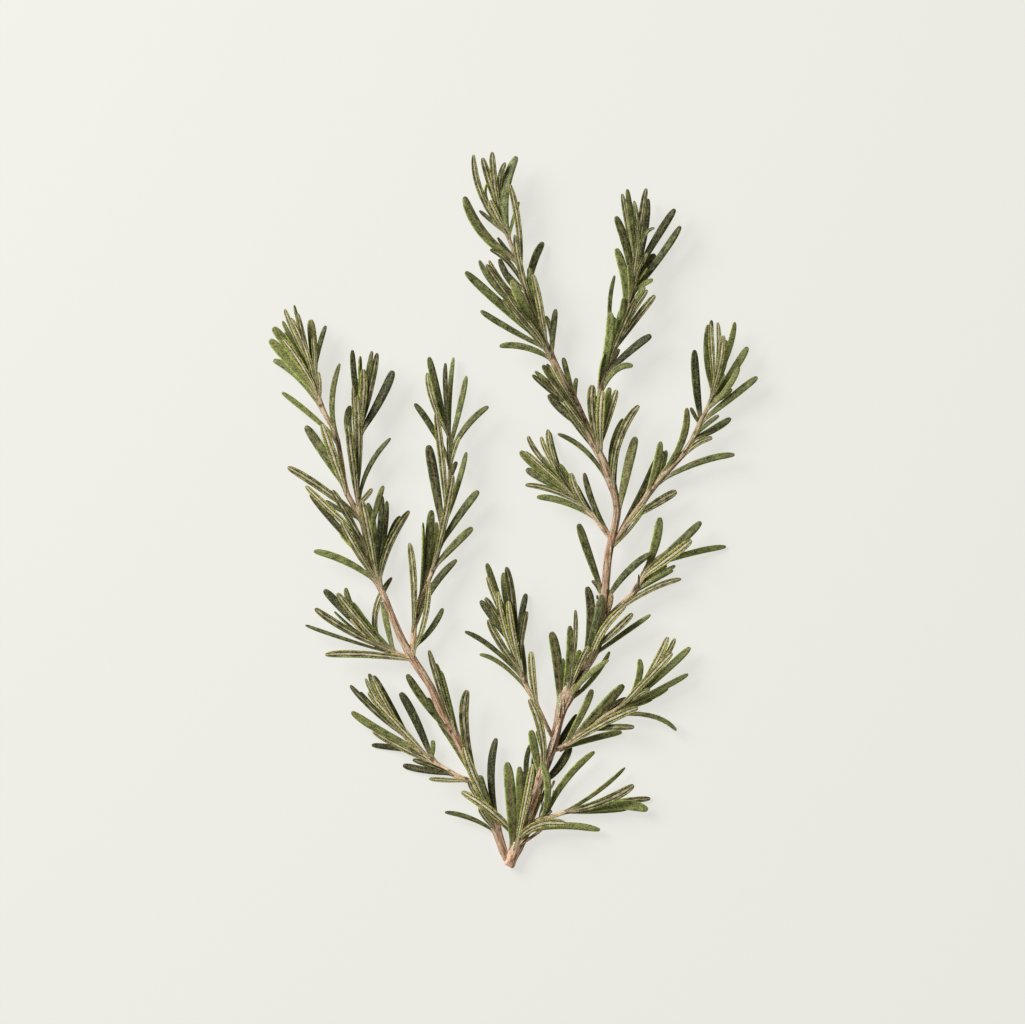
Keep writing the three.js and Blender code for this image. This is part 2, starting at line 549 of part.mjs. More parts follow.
const TOP_RIGHT_BASE_LEAVES = [
  [34.8, 26, 31.7, 40, 31.9, 50.2, 3.4, "U"],
  [34.8, 27, 35, 38, 35.8, 47.8, 3.4, "U", 2.5],
  [34.8, 25, 33.4, 36, 33.8, 45.8, 2.2, "T", 1],
  [34.8, 27, 38.6, 38.5, 41.6, 48.3, 2.8, "U"],
  [34.7, 35, 37.6, 43.5, 38.9, 49.3, 2.4, "D"],
];

const TOP_RIGHT_LOWER_LEAVES = [
  [36, 52, 38.6, 67, 39, 79.3, 3.4, "T", 3],
  [40.5, 66.5, 38.6, 81, 40.9, 94, 1.7, "E"],
  [41, 68, 41.6, 73.5, 40.4, 77.5, 1.4, "D"],
  [41.5, 69, 42.4, 75.5, 43.6, 80.6, 2, "D"],
  [40.5, 66.5, 43.2, 76, 44.3, 85, 2.2, "T"],
  [38, 59, 43.3, 71, 49.3, 84.5, 2.6, "U", 1],
  [37, 56, 40, 60, 42.8, 64.8, 2, "D"],
  [35.5, 50, 35.1, 56.5, 36.8, 63, 1.6, "E"],
  [37, 55.5, 48.2, 64.9, 55.5, 70, 3, "T"],
  [35.5, 49, 41.2, 56.6, 48.2, 57.7, 2.6, "T"],
  [39.5, 63.5, 49.5, 76.8, 57, 86, 2.6, "U", -1],
  [42, 70, 49, 80.8, 54, 88.2, 2, "T"],
];

const TOP_RIGHT_TIP_LEAVES = [
  [49.8, 96, 46.4, 112, 43.8, 126.8, 2.2, "T"],
  [50, 98, 47.6, 114, 45.8, 128.4, 2.4, "U"],
  [50.2, 99, 48.4, 112, 47.3, 124, 2, "D"],
  [50.2, 99, 50.2, 112, 48.5, 123.7, 1.8, "U"],
  [50.1, 98.5, 51.1, 114.5, 53.4, 128.7, 2.4, "U", 1],
  [50, 98, 53.3, 112, 54.3, 125, 2.2, "D"],
  [50.1, 98.5, 52, 109, 56.8, 112.7, 1.4, "U"],
  [49, 91, 45.5, 106, 41.2, 117.7, 3.2, "T"],
  [46, 80.5, 45.2, 92.5, 41.3, 104.9, 3.4, "T"],
  [47.3, 84.5, 47.6, 91.5, 46.4, 98, 2.6, "U", -1],
  [49.9, 97, 58, 109.8, 65, 120.6, 3, "T"],
  [50, 87.5, 59.3, 101.7, 67.2, 113.8, 2.8, "T"],
  [49.3, 92.5, 53.5, 98.5, 57.3, 102.5, 3, "D"],
  [49.6, 95, 51.9, 99.5, 53.8, 103, 1.8, "U"],
  [48.2, 87.5, 52.2, 90.4, 56.2, 92.3, 2, "T"],
  [48.8, 90.5, 51.6, 93.8, 54, 97, 1.4, "E"],
  [48, 86.5, 48.8, 96.5, 50.2, 108, 2.2, "U"],
  [47.5, 82, 50.5, 86.5, 53, 89.5, 1.8, "T"],
];

const CROWN_LOWER_LEAVES = [
  [11.5, 68, -4.8, 82.4, -19, 95.6, 3.4, "T"],
  [13.8, 65.5, -2.3, 73.2, -12.8, 79.9, 2.4, "T"],
  [15.8, 61.5, 4.5, 65.7, -5.3, 65.6, 2.6, "T"],
  [8.8, 78, -5.2, 87.6, -13.4, 100.4, 2.4, "D"],
  [9.5, 76, -2.6, 86.5, -10.4, 98.4, 2.4, "U"],
  [8, 80, -2.8, 89, -9.4, 100, 2, "U"],
  [6.3, 85, -1.2, 92, -5.2, 101, 2.6, "D"],
  [5.2, 88.5, 0.3, 92, -4, 97, 2, "D"],
  [12, 70, 4.3, 77, -2, 85.6, 2.2, "U", 2],
  [11, 72.5, 4.2, 82, -0.2, 92.2, 3.6, "T", 5],
  [8, 80, 3.6, 94.5, 0.9, 110.3, 2.4, "U"],
  [12.8, 68, 11.2, 80.5, 8.2, 94.4, 2.6, "U"],
  [14.8, 63.5, 16.2, 72, 17.3, 80.6, 2.4, "T"],
  [15, 63, 15.8, 70.5, 13.3, 78, 2, "D"],
  [14.5, 64, 5, 73.8, -4, 84.5, 2.2, "U"],
  [14, 65, 8, 73, 1.5, 80, 2.2, "U", 1],
  [9, 79, 8.3, 88.8, 6.4, 97, 2.8, "T", 2],
  [5.5, 87.5, 8, 98.5, 12.4, 107.6, 3, "D"],
  [3.5, 91, -1.8, 99.8, -9.1, 104.3, 2, "T"],
];

const CROWN_TIP_LEAVES = [
  [-2.7, 111.5, -12.4, 125.3, -15.6, 142.3, 2.4, "U"],
  [-4.5, 116, -8.8, 130, -12, 140.9, 2.6, "U"],
  [-5, 118.5, -7.3, 131, -8.1, 143.2, 2.6, "U", 2],
  [-5, 119, -5.5, 130, -2.8, 139, 2.2, "U"],
  [-2, 111.5, -3.4, 127, 1.8, 141.6, 3.6, "T", 3],
  [-4.6, 116.5, -10.6, 124, -10, 131, 2.4, "E"],
  [-2.5, 111, -3, 119.5, -2.5, 127.5, 2.6, "D"],
  [3, 97, 2.4, 114.5, -1.2, 130.5, 2.4, "U"],
  [-1.8, 109.5, 0.4, 117, 2.7, 123.4, 2.2, "E"],
  [-2.7, 111.5, -8.5, 116, -13.3, 120.2, 1.6, "D"],
  [1.6, 101, -12, 110.6, -19.2, 125.7, 3.8, "T"],
  [1, 102.5, -2.8, 105, -6, 109.5, 1.4, "D"],
  [-3.8, 113.5, -6.9, 119, -9.2, 124, 2.8, "U", -1],
];

// Which stem each stem springs from, in building order.
const STEMS = {
  main_stem: MAIN_STEM,
  left_stem: LEFT_STEM,
  inner_left_stem: INNER_LEFT_SHOOT,
  long_left_stem: LONG_LEFT_SHOOT,
  left_side_stem: LEFT_SIDE_SHOOT,
  low_left_stem: LOW_LEFT_SHOOT,
  inner_stem: INNER_SHOOT,
  mid_left_stem: MID_LEFT_SHOOT,
  top_right_stem: TOP_RIGHT_SHOOT,
  right_upper_stem: RIGHT_UPPER_SHOOT,
  right_mid_stem: RIGHT_MID_SHOOT,
  right_low_stem: RIGHT_LOW_SHOOT,
  base_right_stem: BASE_RIGHT_SHOOT,
};

// Each group of leaves, with the stem that carries it.
const LEAF_GROUPS = {
  base_leaves: { stem: "main_stem", leaves: BASE_LEAVES },
  lower_main_leaves: { stem: "main_stem", leaves: LOWER_MAIN_LEAVES },
  middle_main_leaves: { stem: "main_stem", leaves: MIDDLE_LEAVES },
  bend_leaves: { stem: "main_stem", leaves: BEND_LEAVES },
  upper_main_leaves: { stem: "main_stem", leaves: UPPER_MAIN_LEAVES },
  crown_lower_leaves: { stem: "main_stem", leaves: CROWN_LOWER_LEAVES },
  crown_tip_leaves: { stem: "main_stem", leaves: CROWN_TIP_LEAVES },
  left_lower_leaves: { stem: "left_stem", leaves: LEFT_LOWER_LEAVES },
  left_middle_leaves: { stem: "left_stem", leaves: LEFT_MIDDLE_LEAVES },
  left_upper_leaves: { stem: "left_stem", leaves: LEFT_UPPER_LEAVES },
  left_tip_leaves: { stem: "left_stem", leaves: LEFT_TIP_LEAVES },
  inner_left_leaves: { stem: "inner_left_stem", leaves: INNER_LEFT_LEAVES },
  long_left_lower_leaves: { stem: "long_left_stem", leaves: LONG_LEFT_LOWER_LEAVES },
  long_left_upper_leaves: { stem: "long_left_stem", leaves: LONG_LEFT_UPPER_LEAVES },
  left_side_leaves: { stem: "left_side_stem", leaves: LEFT_SIDE_LEAVES },
  low_left_leaves: { stem: "low_left_stem", leaves: LOW_LEFT_LEAVES },
  inner_leaves: { stem: "inner_stem", leaves: INNER_LEAVES },
  mid_left_leaves: { stem: "mid_left_stem", leaves: MID_LEFT_LEAVES },
  top_right_base_leaves: { stem: "top_right_stem", leaves: TOP_RIGHT_BASE_LEAVES },
  top_right_lower_leaves: { stem: "top_right_stem", leaves: TOP_RIGHT_LOWER_LEAVES },
  top_right_tip_leaves: { stem: "top_right_stem", leaves: TOP_RIGHT_TIP_LEAVES },
  right_upper_leaves: { stem: "right_upper_stem", leaves: RIGHT_UPPER_LEAVES },
  right_tip_leaves: { stem: "right_upper_stem", leaves: RIGHT_TIP_LEAVES },
  right_mid_leaves: { stem: "right_mid_stem", leaves: RIGHT_MID_LEAVES },
  right_low_leaves: { stem: "right_low_stem", leaves: RIGHT_LOW_LEAVES },
  right_low_tip_leaves: { stem: "right_low_stem", leaves: RIGHT_LOW_TIP_LEAVES },
  base_right_leaves: { stem: "base_right_stem", leaves: BASE_RIGHT_LEAVES },
};

// ---------------------------------------------------------------- solids

const wasm = await Module();
wasm.setup();

// A closed geometry as a solid that can be joined and cut.
function solidOf(geometry) {
  const bare = geometry.clone();
  bare.deleteAttribute("normal");
  bare.deleteAttribute("uv");
  const merged = mergeVertices(bare, 1e-5);
  const vertProperties = new Float32Array(merged.attributes.position.array);
  const triVerts = new Uint32Array(merged.index.array);
  return new wasm.Manifold(new wasm.Mesh({ numProp: 3, vertProperties, triVerts }));
}

// A solid as a geometry for a mesh.
function geometryOf(solid) {
  const mesh = solid.getMesh();
  const geometry = new THREE.BufferGeometry();
  geometry.setAttribute("position", new THREE.Float32BufferAttribute(mesh.vertProperties, 3));
  geometry.setIndex(new THREE.Uint32BufferAttribute(mesh.triVerts, 1));
  return geometry;
}

// A cylinder bent so that each of its rings sits where `place` puts it. `place` takes the
// ring's number and the place on the ring, and gives the point.
function bentCylinder(sides, rings, pointed, place) {
  const geometry = new THREE.CylinderGeometry(pointed ? 0 : 1, 1, rings - 1, sides, rings - 1);
  const position = geometry.attributes.position;
  const bottom = (rings - 1) / 2;
  for (let i = 0; i < position.count; i += 1) {
    const ring = Math.round(position.getY(i) + bottom);
    const radius = pointed ? 1 - ring / (rings - 1) : 1;
    const across = radius > 0 ? position.getX(i) / radius : 0;
    const over = radius > 0 ? position.getZ(i) / radius : 0;
    const point = place(ring, across, over);
    position.setXYZ(i, point.x, point.y, point.z);
  }
  return geometry;
}

const UP = new THREE.Vector3(0, 0, 1);

// The level sideways direction and the upward one, square to a direction of travel.
function frameAlong(tangent) {
  const side = new THREE.Vector3().crossVectors(tangent, UP).normalize();
  const up = new THREE.Vector3().crossVectors(side, tangent).normalize();
  return { side, up };
}

// ---------------------------------------------------------------- stem shapes

function isWoody(rows) {
  return rows[0][3] > WOODY_RADIUS;
}

function stemPoint(row) {
  return new THREE.Vector3(row[0], row[1], row[2]);
}

// The direction of travel at one point of a stem, shared between its two stretches.
function stemTangent(rows, index) {
  const before = stemPoint(rows[Math.max(index - 1, 0)]);
  const after = stemPoint(rows[Math.min(index + 1, rows.length - 1)]);
  return after.sub(before).normalize();
}

// A tapering tube through the rows `first` to `last`, made thicker by `grow` all round and
// longer by `reach` at either end.
function tube(rows, grow, reach, first = 0, last = rows.length - 1) {
  return solidOf(
    bentCylinder(isWoody(rows) ? WOODY_SIDES : SHOOT_SIDES, last - first + 1, false, (ring, across, over) => {
      const index = first + ring;
      const tangent = stemTangent(rows, index);
      const { side, up } = frameAlong(tangent);
      const radius = rows[index][3] + grow;
      const end = Number(index === last) - Number(index === first);
      return stemPoint(rows[index])
        .addScaledVector(side, across * radius)
        .addScaledVector(up, over * radius)
        .addScaledVector(tangent, end * reach);
    }),
  );
}

// The nearest place on a stem's centre line to a point seen from above.
function nearestOnStem(rows, x, y) {
  let best = { distance: Infinity };
  for (let i = 0; i < rows.length - 1; i += 1) {
    const from = stemPoint(rows[i]);
    const to = stemPoint(rows[i + 1]);
    const run = new THREE.Vector2(to.x - from.x, to.y - from.y);
    const offset = new THREE.Vector2(x - from.x, y - from.y);
    const share = THREE.MathUtils.clamp(offset.dot(run) / run.lengthSq(), 0, 1);
    const point = from.clone().lerp(to, share);
    const distance = Math.hypot(point.x - x, point.y - y);
    if (distance < best.distance) {
      const radius = THREE.MathUtils.lerp(rows[i][3], rows[i + 1][3], share);
      const tangent = to.clone().sub(from).normalize();
      best = { distance, point, radius, tangent, index: i };
    }
  }
  return best;
}

// ---------------------------------------------------------------- leaf shapes

// The curve of one leaf, from its foot on the stem through its middle to its tip.
function leafCurve(rows, leaf, order) {
  const [footX, footY, middleX, middleY, tipX, tipY, , poseName, lift = 0] = leaf;
  const pose = POSES[poseName];
  const foot = nearestOnStem(rows, footX, footY);
  const { side, up } = frameAlong(foot.tangent);
  const tip = new THREE.Vector3(tipX, tipY, 0);
  const aimedAt = foot.distance > foot.radius ? new THREE.Vector3(footX, footY, 0) : tip;
  const lean = Math.sign(side.dot(aimedAt.clone().sub(foot.point))) || 1;
  const start = foot.point.clone();
  start.addScaledVector(side, lean * pose.side * foot.radius);
  start.addScaledVector(up, pose.top * (foot.radius + GAP));
  const spread = 0.75 + 0.5 * ((order * 0.618) % 1);
  const lowest = LEAF_FLOOR + LEAF_THICKNESS;
  const middleHeight = Math.max(start.z + pose.middle * spread + lift, lowest);
  tip.z = Math.max(start.z + pose.tip * spread + lift, lowest);
  const middle = new THREE.Vector3(middleX, middleY, middleHeight);
  const control = middle.multiplyScalar(2).addScaledVector(start, -0.5).addScaledVector(tip, -0.5);
  return { curve: new THREE.QuadraticBezierCurve3(start, control, tip), roll: lean * pose.roll };
}

// A three-sided blade: the flat upper side lies between the margins, the keel is below.
function blade(curve, roll, width, grow) {
  const rings = LEAF_STATIONS.length;
  return solidOf(
    bentCylinder(3, rings, true, (ring, across, over) => {
      const station = LEAF_STATIONS[ring];
      const tangent = curve.getTangent(station.along);
      const { side, up } = frameAlong(tangent);
      const sideways = side.clone().applyAxisAngle(tangent, roll);
      const upwards = up.clone().applyAxisAngle(tangent, roll);
      const taper = station.width === 0 ? 0 : 1;
      const half = (width * station.width) / 2 + grow * taper;
      const depth = (LEAF_THICKNESS / 1.5 + grow * 1.4) * taper;
      return curve
        .getPoint(station.along)
        .addScaledVector(sideways, (-across * half) / Math.cos(Math.PI / 6))
        .addScaledVector(upwards, -over * depth)
        .addScaledVector(tangent, (1 - taper) * grow);
    }),
  );
}

// The leaves of one group, each also made a gap wider to keep its neighbours away.
function groupLeaves(rows, leaves) {
  return leaves.map((leaf, order) => {
    const { curve, roll } = leafCurve(rows, leaf, order);
    return { solid: blade(curve, roll, leaf[6], 0), grown: blade(curve, roll, leaf[6], GAP) };
  });
}

// The rows of the stem that a group's feet stand on.
function groupSpan(rows, leaves) {
  const feet = leaves.map((leaf) => nearestOnStem(rows, leaf[0], leaf[1]).index);
  return { first: Math.min(...feet), last: Math.max(...feet) + 1 };
}

// ---------------------------------------------------------------- cutting to fit

function boxesMeet(one, other) {
  const a = one.boundingBox();
  const b = other.boundingBox();
  return [0, 1, 2].every((axis) => a.min[axis] < b.max[axis] && b.min[axis] < a.max[axis]);
}

// The solid without what its neighbours need, as the one piece that stays attached.
function trimmed(solid, neighbours) {
  let result = solid;
  for (const neighbour of neighbours) {
    const meets = boxesMeet(result, neighbour) && result.intersect(neighbour).volume() > 1e-4;
    result = meets ? result.subtract(neighbour) : result;
  }
  const pieces = result.decompose();
  return pieces.reduce((best, piece) => (piece.volume() > best.volume() ? piece : best));
}

function addMesh(group, name, solid, colour) {
  const material = new THREE.MeshStandardMaterial({ color: colour, roughness: 0.8, metalness: 0 });
  const mesh = new THREE.Mesh(geometryOf(solid), material);
  mesh.name = name;
  group.add(mesh);
}

// ---------------------------------------------------------------- the branch

const branch = new THREE.Group();
const stemKeepouts = [];
for (const [name, rows] of Object.entries(STEMS)) {
  const colour = isWoody(rows) ? COLOURS.bark : COLOURS.youngStem;
  addMesh(branch, name, trimmed(tube(rows, 0, 0), stemKeepouts), colour);
  stemKeepouts.push(tube(rows, GAP, GAP));
}

const leafKeepouts = [];
for (const [name, { stem, leaves }] of Object.entries(LEAF_GROUPS)) {
  const rows = STEMS[stem];
  const { first, last } = groupSpan(rows, leaves);
  const made = groupLeaves(rows, leaves);
  const sheath = tube(rows, GAP + SHEATH_WALL, 0, first, last);
  const whole = made.reduce((sum, leaf) => sum.add(leaf.solid), sheath);
  addMesh(branch, name, trimmed(whole, [...stemKeepouts, ...leafKeepouts]), COLOURS.leaf);
  leafKeepouts.push(...made.map((leaf) => leaf.grown));
  leafKeepouts.push(tube(rows, GAP + SHEATH_WALL + GAP, GAP, first, last));
}

export default branch;
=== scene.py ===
# %% [markdown]
# # A cut branch of rosemary
#
# The real thing is a woody branch that forks just above its cut end. Its shoots carry
# narrow leaves in tufts: each leaf is leathery and dark above, pale and felted beneath, and
# its margins roll under, so that from below it looks like two green tubes beside a pale rib.
#
# Everything here is in metres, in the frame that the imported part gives: Z is up from the
# table and Y runs from the cut end to the tips. Only the tables are in millimetres.

import math

import bmesh
import bpy
from mathutils import Matrix, Vector, noise


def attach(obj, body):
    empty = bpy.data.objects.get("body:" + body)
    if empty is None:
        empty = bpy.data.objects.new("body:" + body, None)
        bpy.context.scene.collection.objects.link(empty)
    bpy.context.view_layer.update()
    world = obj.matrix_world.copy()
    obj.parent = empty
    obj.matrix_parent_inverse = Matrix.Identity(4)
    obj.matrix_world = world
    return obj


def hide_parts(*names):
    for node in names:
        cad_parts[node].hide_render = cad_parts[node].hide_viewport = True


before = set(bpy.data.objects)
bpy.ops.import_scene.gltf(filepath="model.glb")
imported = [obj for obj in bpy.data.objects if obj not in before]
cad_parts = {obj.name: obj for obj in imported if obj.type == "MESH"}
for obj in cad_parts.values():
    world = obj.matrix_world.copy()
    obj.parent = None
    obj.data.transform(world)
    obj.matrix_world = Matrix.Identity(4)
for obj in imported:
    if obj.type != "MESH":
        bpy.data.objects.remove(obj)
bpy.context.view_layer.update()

MM = 0.001


# %% [markdown]
# ## Two small helpers
#
# Colours are easiest to choose as the hex values of a colour picker. Those are sRGB, and a
# shader works with linear light, so one function turns the one into the other. Shader trees
# are built with one function that adds a node, sets its values and joins its inputs. An
# input is named by its name or its number: on a Map Range node 1 and 2 are the range that
# goes in, and 3 and 4 are the range that comes out.

# %% Colour and node helpers
def paint(hex_colour):
    """An sRGB hex colour as the linear RGBA that a shader socket takes."""
    channels = [int(hex_colour[i : i + 2], 16) / 255 for i in (1, 3, 5)]
    linear = [c / 12.92 if c <= 0.04045 else ((c + 0.055) / 1.055) ** 2.4 for c in channels]
    return (*linear, 1.0)


def add(tree, kind, links=None, stops=(), **settings):
    """A new shader node. `links` maps an input to a value, a hex colour, a node or a socket."""
    made = tree.nodes.new(f"ShaderNode{kind}")
    for name, value in settings.items():
        setattr(made, name, value)
    for name, value in (links or {}).items():
        named = [s for s in made.inputs if s.enabled and s.name == name]
        socket = named[0] if named else made.inputs[name]
        if isinstance(value, bpy.types.Node):
            value = next(s for s in value.outputs if s.enabled)
        if isinstance(value, bpy.types.NodeSocket):
            tree.links.new(value, socket)
        else:
            socket.default_value = paint(value) if isinstance(value, str) else value
    for number, (place, hex_colour) in enumerate(stops):
        elements = made.color_ramp.elements
        if number == 0:
            elements.remove(elements[-1])
        element = elements[0] if number == 0 else elements.new(place)
        element.position, element.color = place, paint(hex_colour)
    return made


# %% [markdown]
# ## Tables as text
#
# The branch is described in three tables: stems, leaves and dry strands. They are written
# as plain text, because brackets and quotes would hide the numbers. A comma ends a row.

# %% Reading a table
def rows_of(table):
    """The rows of a text table, with its numbers as numbers and its words as words."""
    def cell(word):
        return float(word) if word.strip("-")[0].isdigit() else word
    return [[cell(word) for word in row.split()] for row in table.split(",")]


# %% [markdown]
# ## The stems
#
# Each stem is a route of points: across, along, height of its middle and radius, all in
# millimetres. They are the same points as in the solid model, so a detailed stem sits where
# the plain one does. The first two are woody, the rest are side shoots.

# %% Where the stems run
STEMS = {
    # x, y, height and radius of each point
    "main_stem": rows_of("""
    -1.4 -142.6 3.2 2.1, 0.3 -138 3.3 2.3, 2.9 -133 3.3 2.3, 5.8 -126 3.4 2.1, 9.6 -113.5 3.8 2,
    13 -102.5 4.4 1.9, 16.3 -94 5 1.9, 19.2 -81.5 5.8 2.1, 21.3 -75.5 6.1 2.5, 24.4 -70 6.5 2.3,
    29.5 -62 7 1.8, 35 -50 7.6 1.7, 36.9 -34 8.2 1.6, 38.3 -18 8.6 1.6, 41.2 -5 8.9 1.5,
    41.6 3 9 1.5, 38.2 15 9.2 1.7, 32.5 27 9.2 1.6, 28.3 36 9.2 1.6, 24.2 45 9.2 1.4,
    18.9 55 9.2 1.4, 14 65 9.1 1.2, 9.5 76 9 1.1, 6 86 8.8 1, 3 97 8.6 0.9, -0.8 107 8.4 0.8,
    -4.5 116 8.2 0.6, -5.3 121 8.2 0.5"""),
    "left_stem": rows_of("""
    -2.2 -140 2.8 1.4, -4.1 -135.3 2.8 1.7, -7.3 -125 3.1 1.8, -11.2 -116.5 3.5 1.7,
    -15.5 -106 4 1.6, -20.5 -95 4.6 1.6, -24.5 -87 5 1.6, -29 -79.7 5.4 1.6, -33 -70.3 5.8 1.6,
    -39.4 -60 6.3 1.7, -43.9 -52.2 6.6 1.5, -47 -45.2 6.9 1.4, -50.9 -35.2 7.2 1.3, -55 -26 7.5 1.3,
    -57.8 -16 7.8 1.2, -60 -5 8 1.2, -63.8 2.2 8.1 1.2, -66.8 9 8.1 1.1, -68.8 22 8 1,
    -71.1 30.8 7.9 1, -75.6 40 7.8 1, -78.4 48 7.7 1, -80.5 58 7.7 0.6"""),
    "inner_left_stem": rows_of("""
    -60.6 -4.5 8.4 1, -61.7 3 9 1, -62 12 9.3 0.9, -61.7 26 9.3 0.8, -60 38 9.2 0.7,
    -59.5 42 9.2 0.5"""),
    "long_left_stem": rows_of("""
    -40.2 -58.5 6.6 1.2, -39.5 -51 7.2 1.2, -39.2 -46 7.6 1.1, -36.7 -35 8.2 1.1, -33.2 -27 8.6 1,
    -30.6 -20 8.9 1, -28.3 -9 9.2 0.9, -26.5 2 9.4 0.8, -25.2 15 9.4 0.7, -25.5 28 9.3 0.6,
    -26.2 35 9.3 0.5"""),
    "left_side_stem": rows_of("""
    -40.5 -59.5 6 1.1, -45.9 -57.6 6 1.1, -50 -56 5.8 1, -54.5 -54 5.6 0.9, -60 -49.5 5.4 0.7,
    -65 -43.5 5.3 0.5"""),
    "low_left_stem": rows_of("""
    -15.5 -108.8 4 1.2, -20.5 -107.2 4.2 1.1, -26.5 -104 4.4 1.1, -32 -100.2 4.6 1,
    -37.6 -95.5 4.8 0.9, -44 -89.5 4.9 0.8, -49 -84 5 0.5"""),
    "inner_stem": rows_of("""
    16.6 -92 5.2 0.9, 13.6 -86 5.6 0.9, 9.8 -78 6 0.9, 7 -73 6.3 0.9, 4.5 -67.5 6.5 0.8,
    2.6 -61.5 6.7 0.8, 0.8 -54 6.8 0.6, -0.8 -47 6.8 0.5"""),
    "mid_left_stem": rows_of("""
    39.2 -11 8.6 1, 36 -7 8.4 1, 33.2 -3 8.2 1, 29.5 0.5 8 0.9, 26 4.5 7.8 0.8, 22.5 8.5 7.7 0.7,
    19 13 7.6 0.5"""),
    "top_right_stem": rows_of("""
    34.5 22.5 9.3 1.4, 34.8 30 9.8 1.3, 34.6 40 10 1.2, 35.2 49 10 1.2, 37.2 57 10 1.1,
    40.2 65.5 10 1, 43.6 74 9.8 1, 46.8 83 9.6 0.9, 49.2 92 9.4 0.8, 50.3 100 9.3 0.6"""),
    "right_upper_stem": rows_of("""
    39.8 -14 8.4 1.3, 42.5 -10.5 8.3 1.3, 46.5 -4.5 8.1 1.3, 50.5 1 7.9 1.3, 55.5 8 7.6 1.2,
    60 13.5 7.4 1.2, 66 20 7.2 1.1, 70 25 7 1.1, 73 30.5 6.9 1, 76 37 6.8 0.9, 79.3 44 6.8 0.8,
    81.5 51 6.8 0.6"""),
    "right_mid_stem": rows_of("""
    35.2 -47 7.7 1, 39 -42 7.5 1, 43 -38 7.4 1, 47 -34.3 7.2 1.1, 50.5 -29.8 7 1.2, 53 -24.5 6.9 1,
    57 -20 6.8 0.8, 62 -16 6.8 0.5"""),
    "right_low_stem": rows_of("""
    15.7 -96 4.9 1, 20.5 -94.6 4.9 1, 25 -91.5 4.9 1, 30 -87.5 4.9 0.9, 36 -83 4.9 0.9,
    42 -79.5 4.9 0.8, 48 -75.5 4.9 0.7, 54 -70 4.9 0.5"""),
    "base_right_stem": rows_of("""
    6.5 -125.5 3.2 1, 12 -123.6 3.2 0.9, 17.5 -122 3.3 0.9, 22.5 -120.6 3.4 0.8, 28 -120.1 3.5 0.7,
    34 -119.8 3.6 0.5"""),
}
print("stems:", len(STEMS), "with", sum(len(rows) for rows in STEMS.values()), "points")
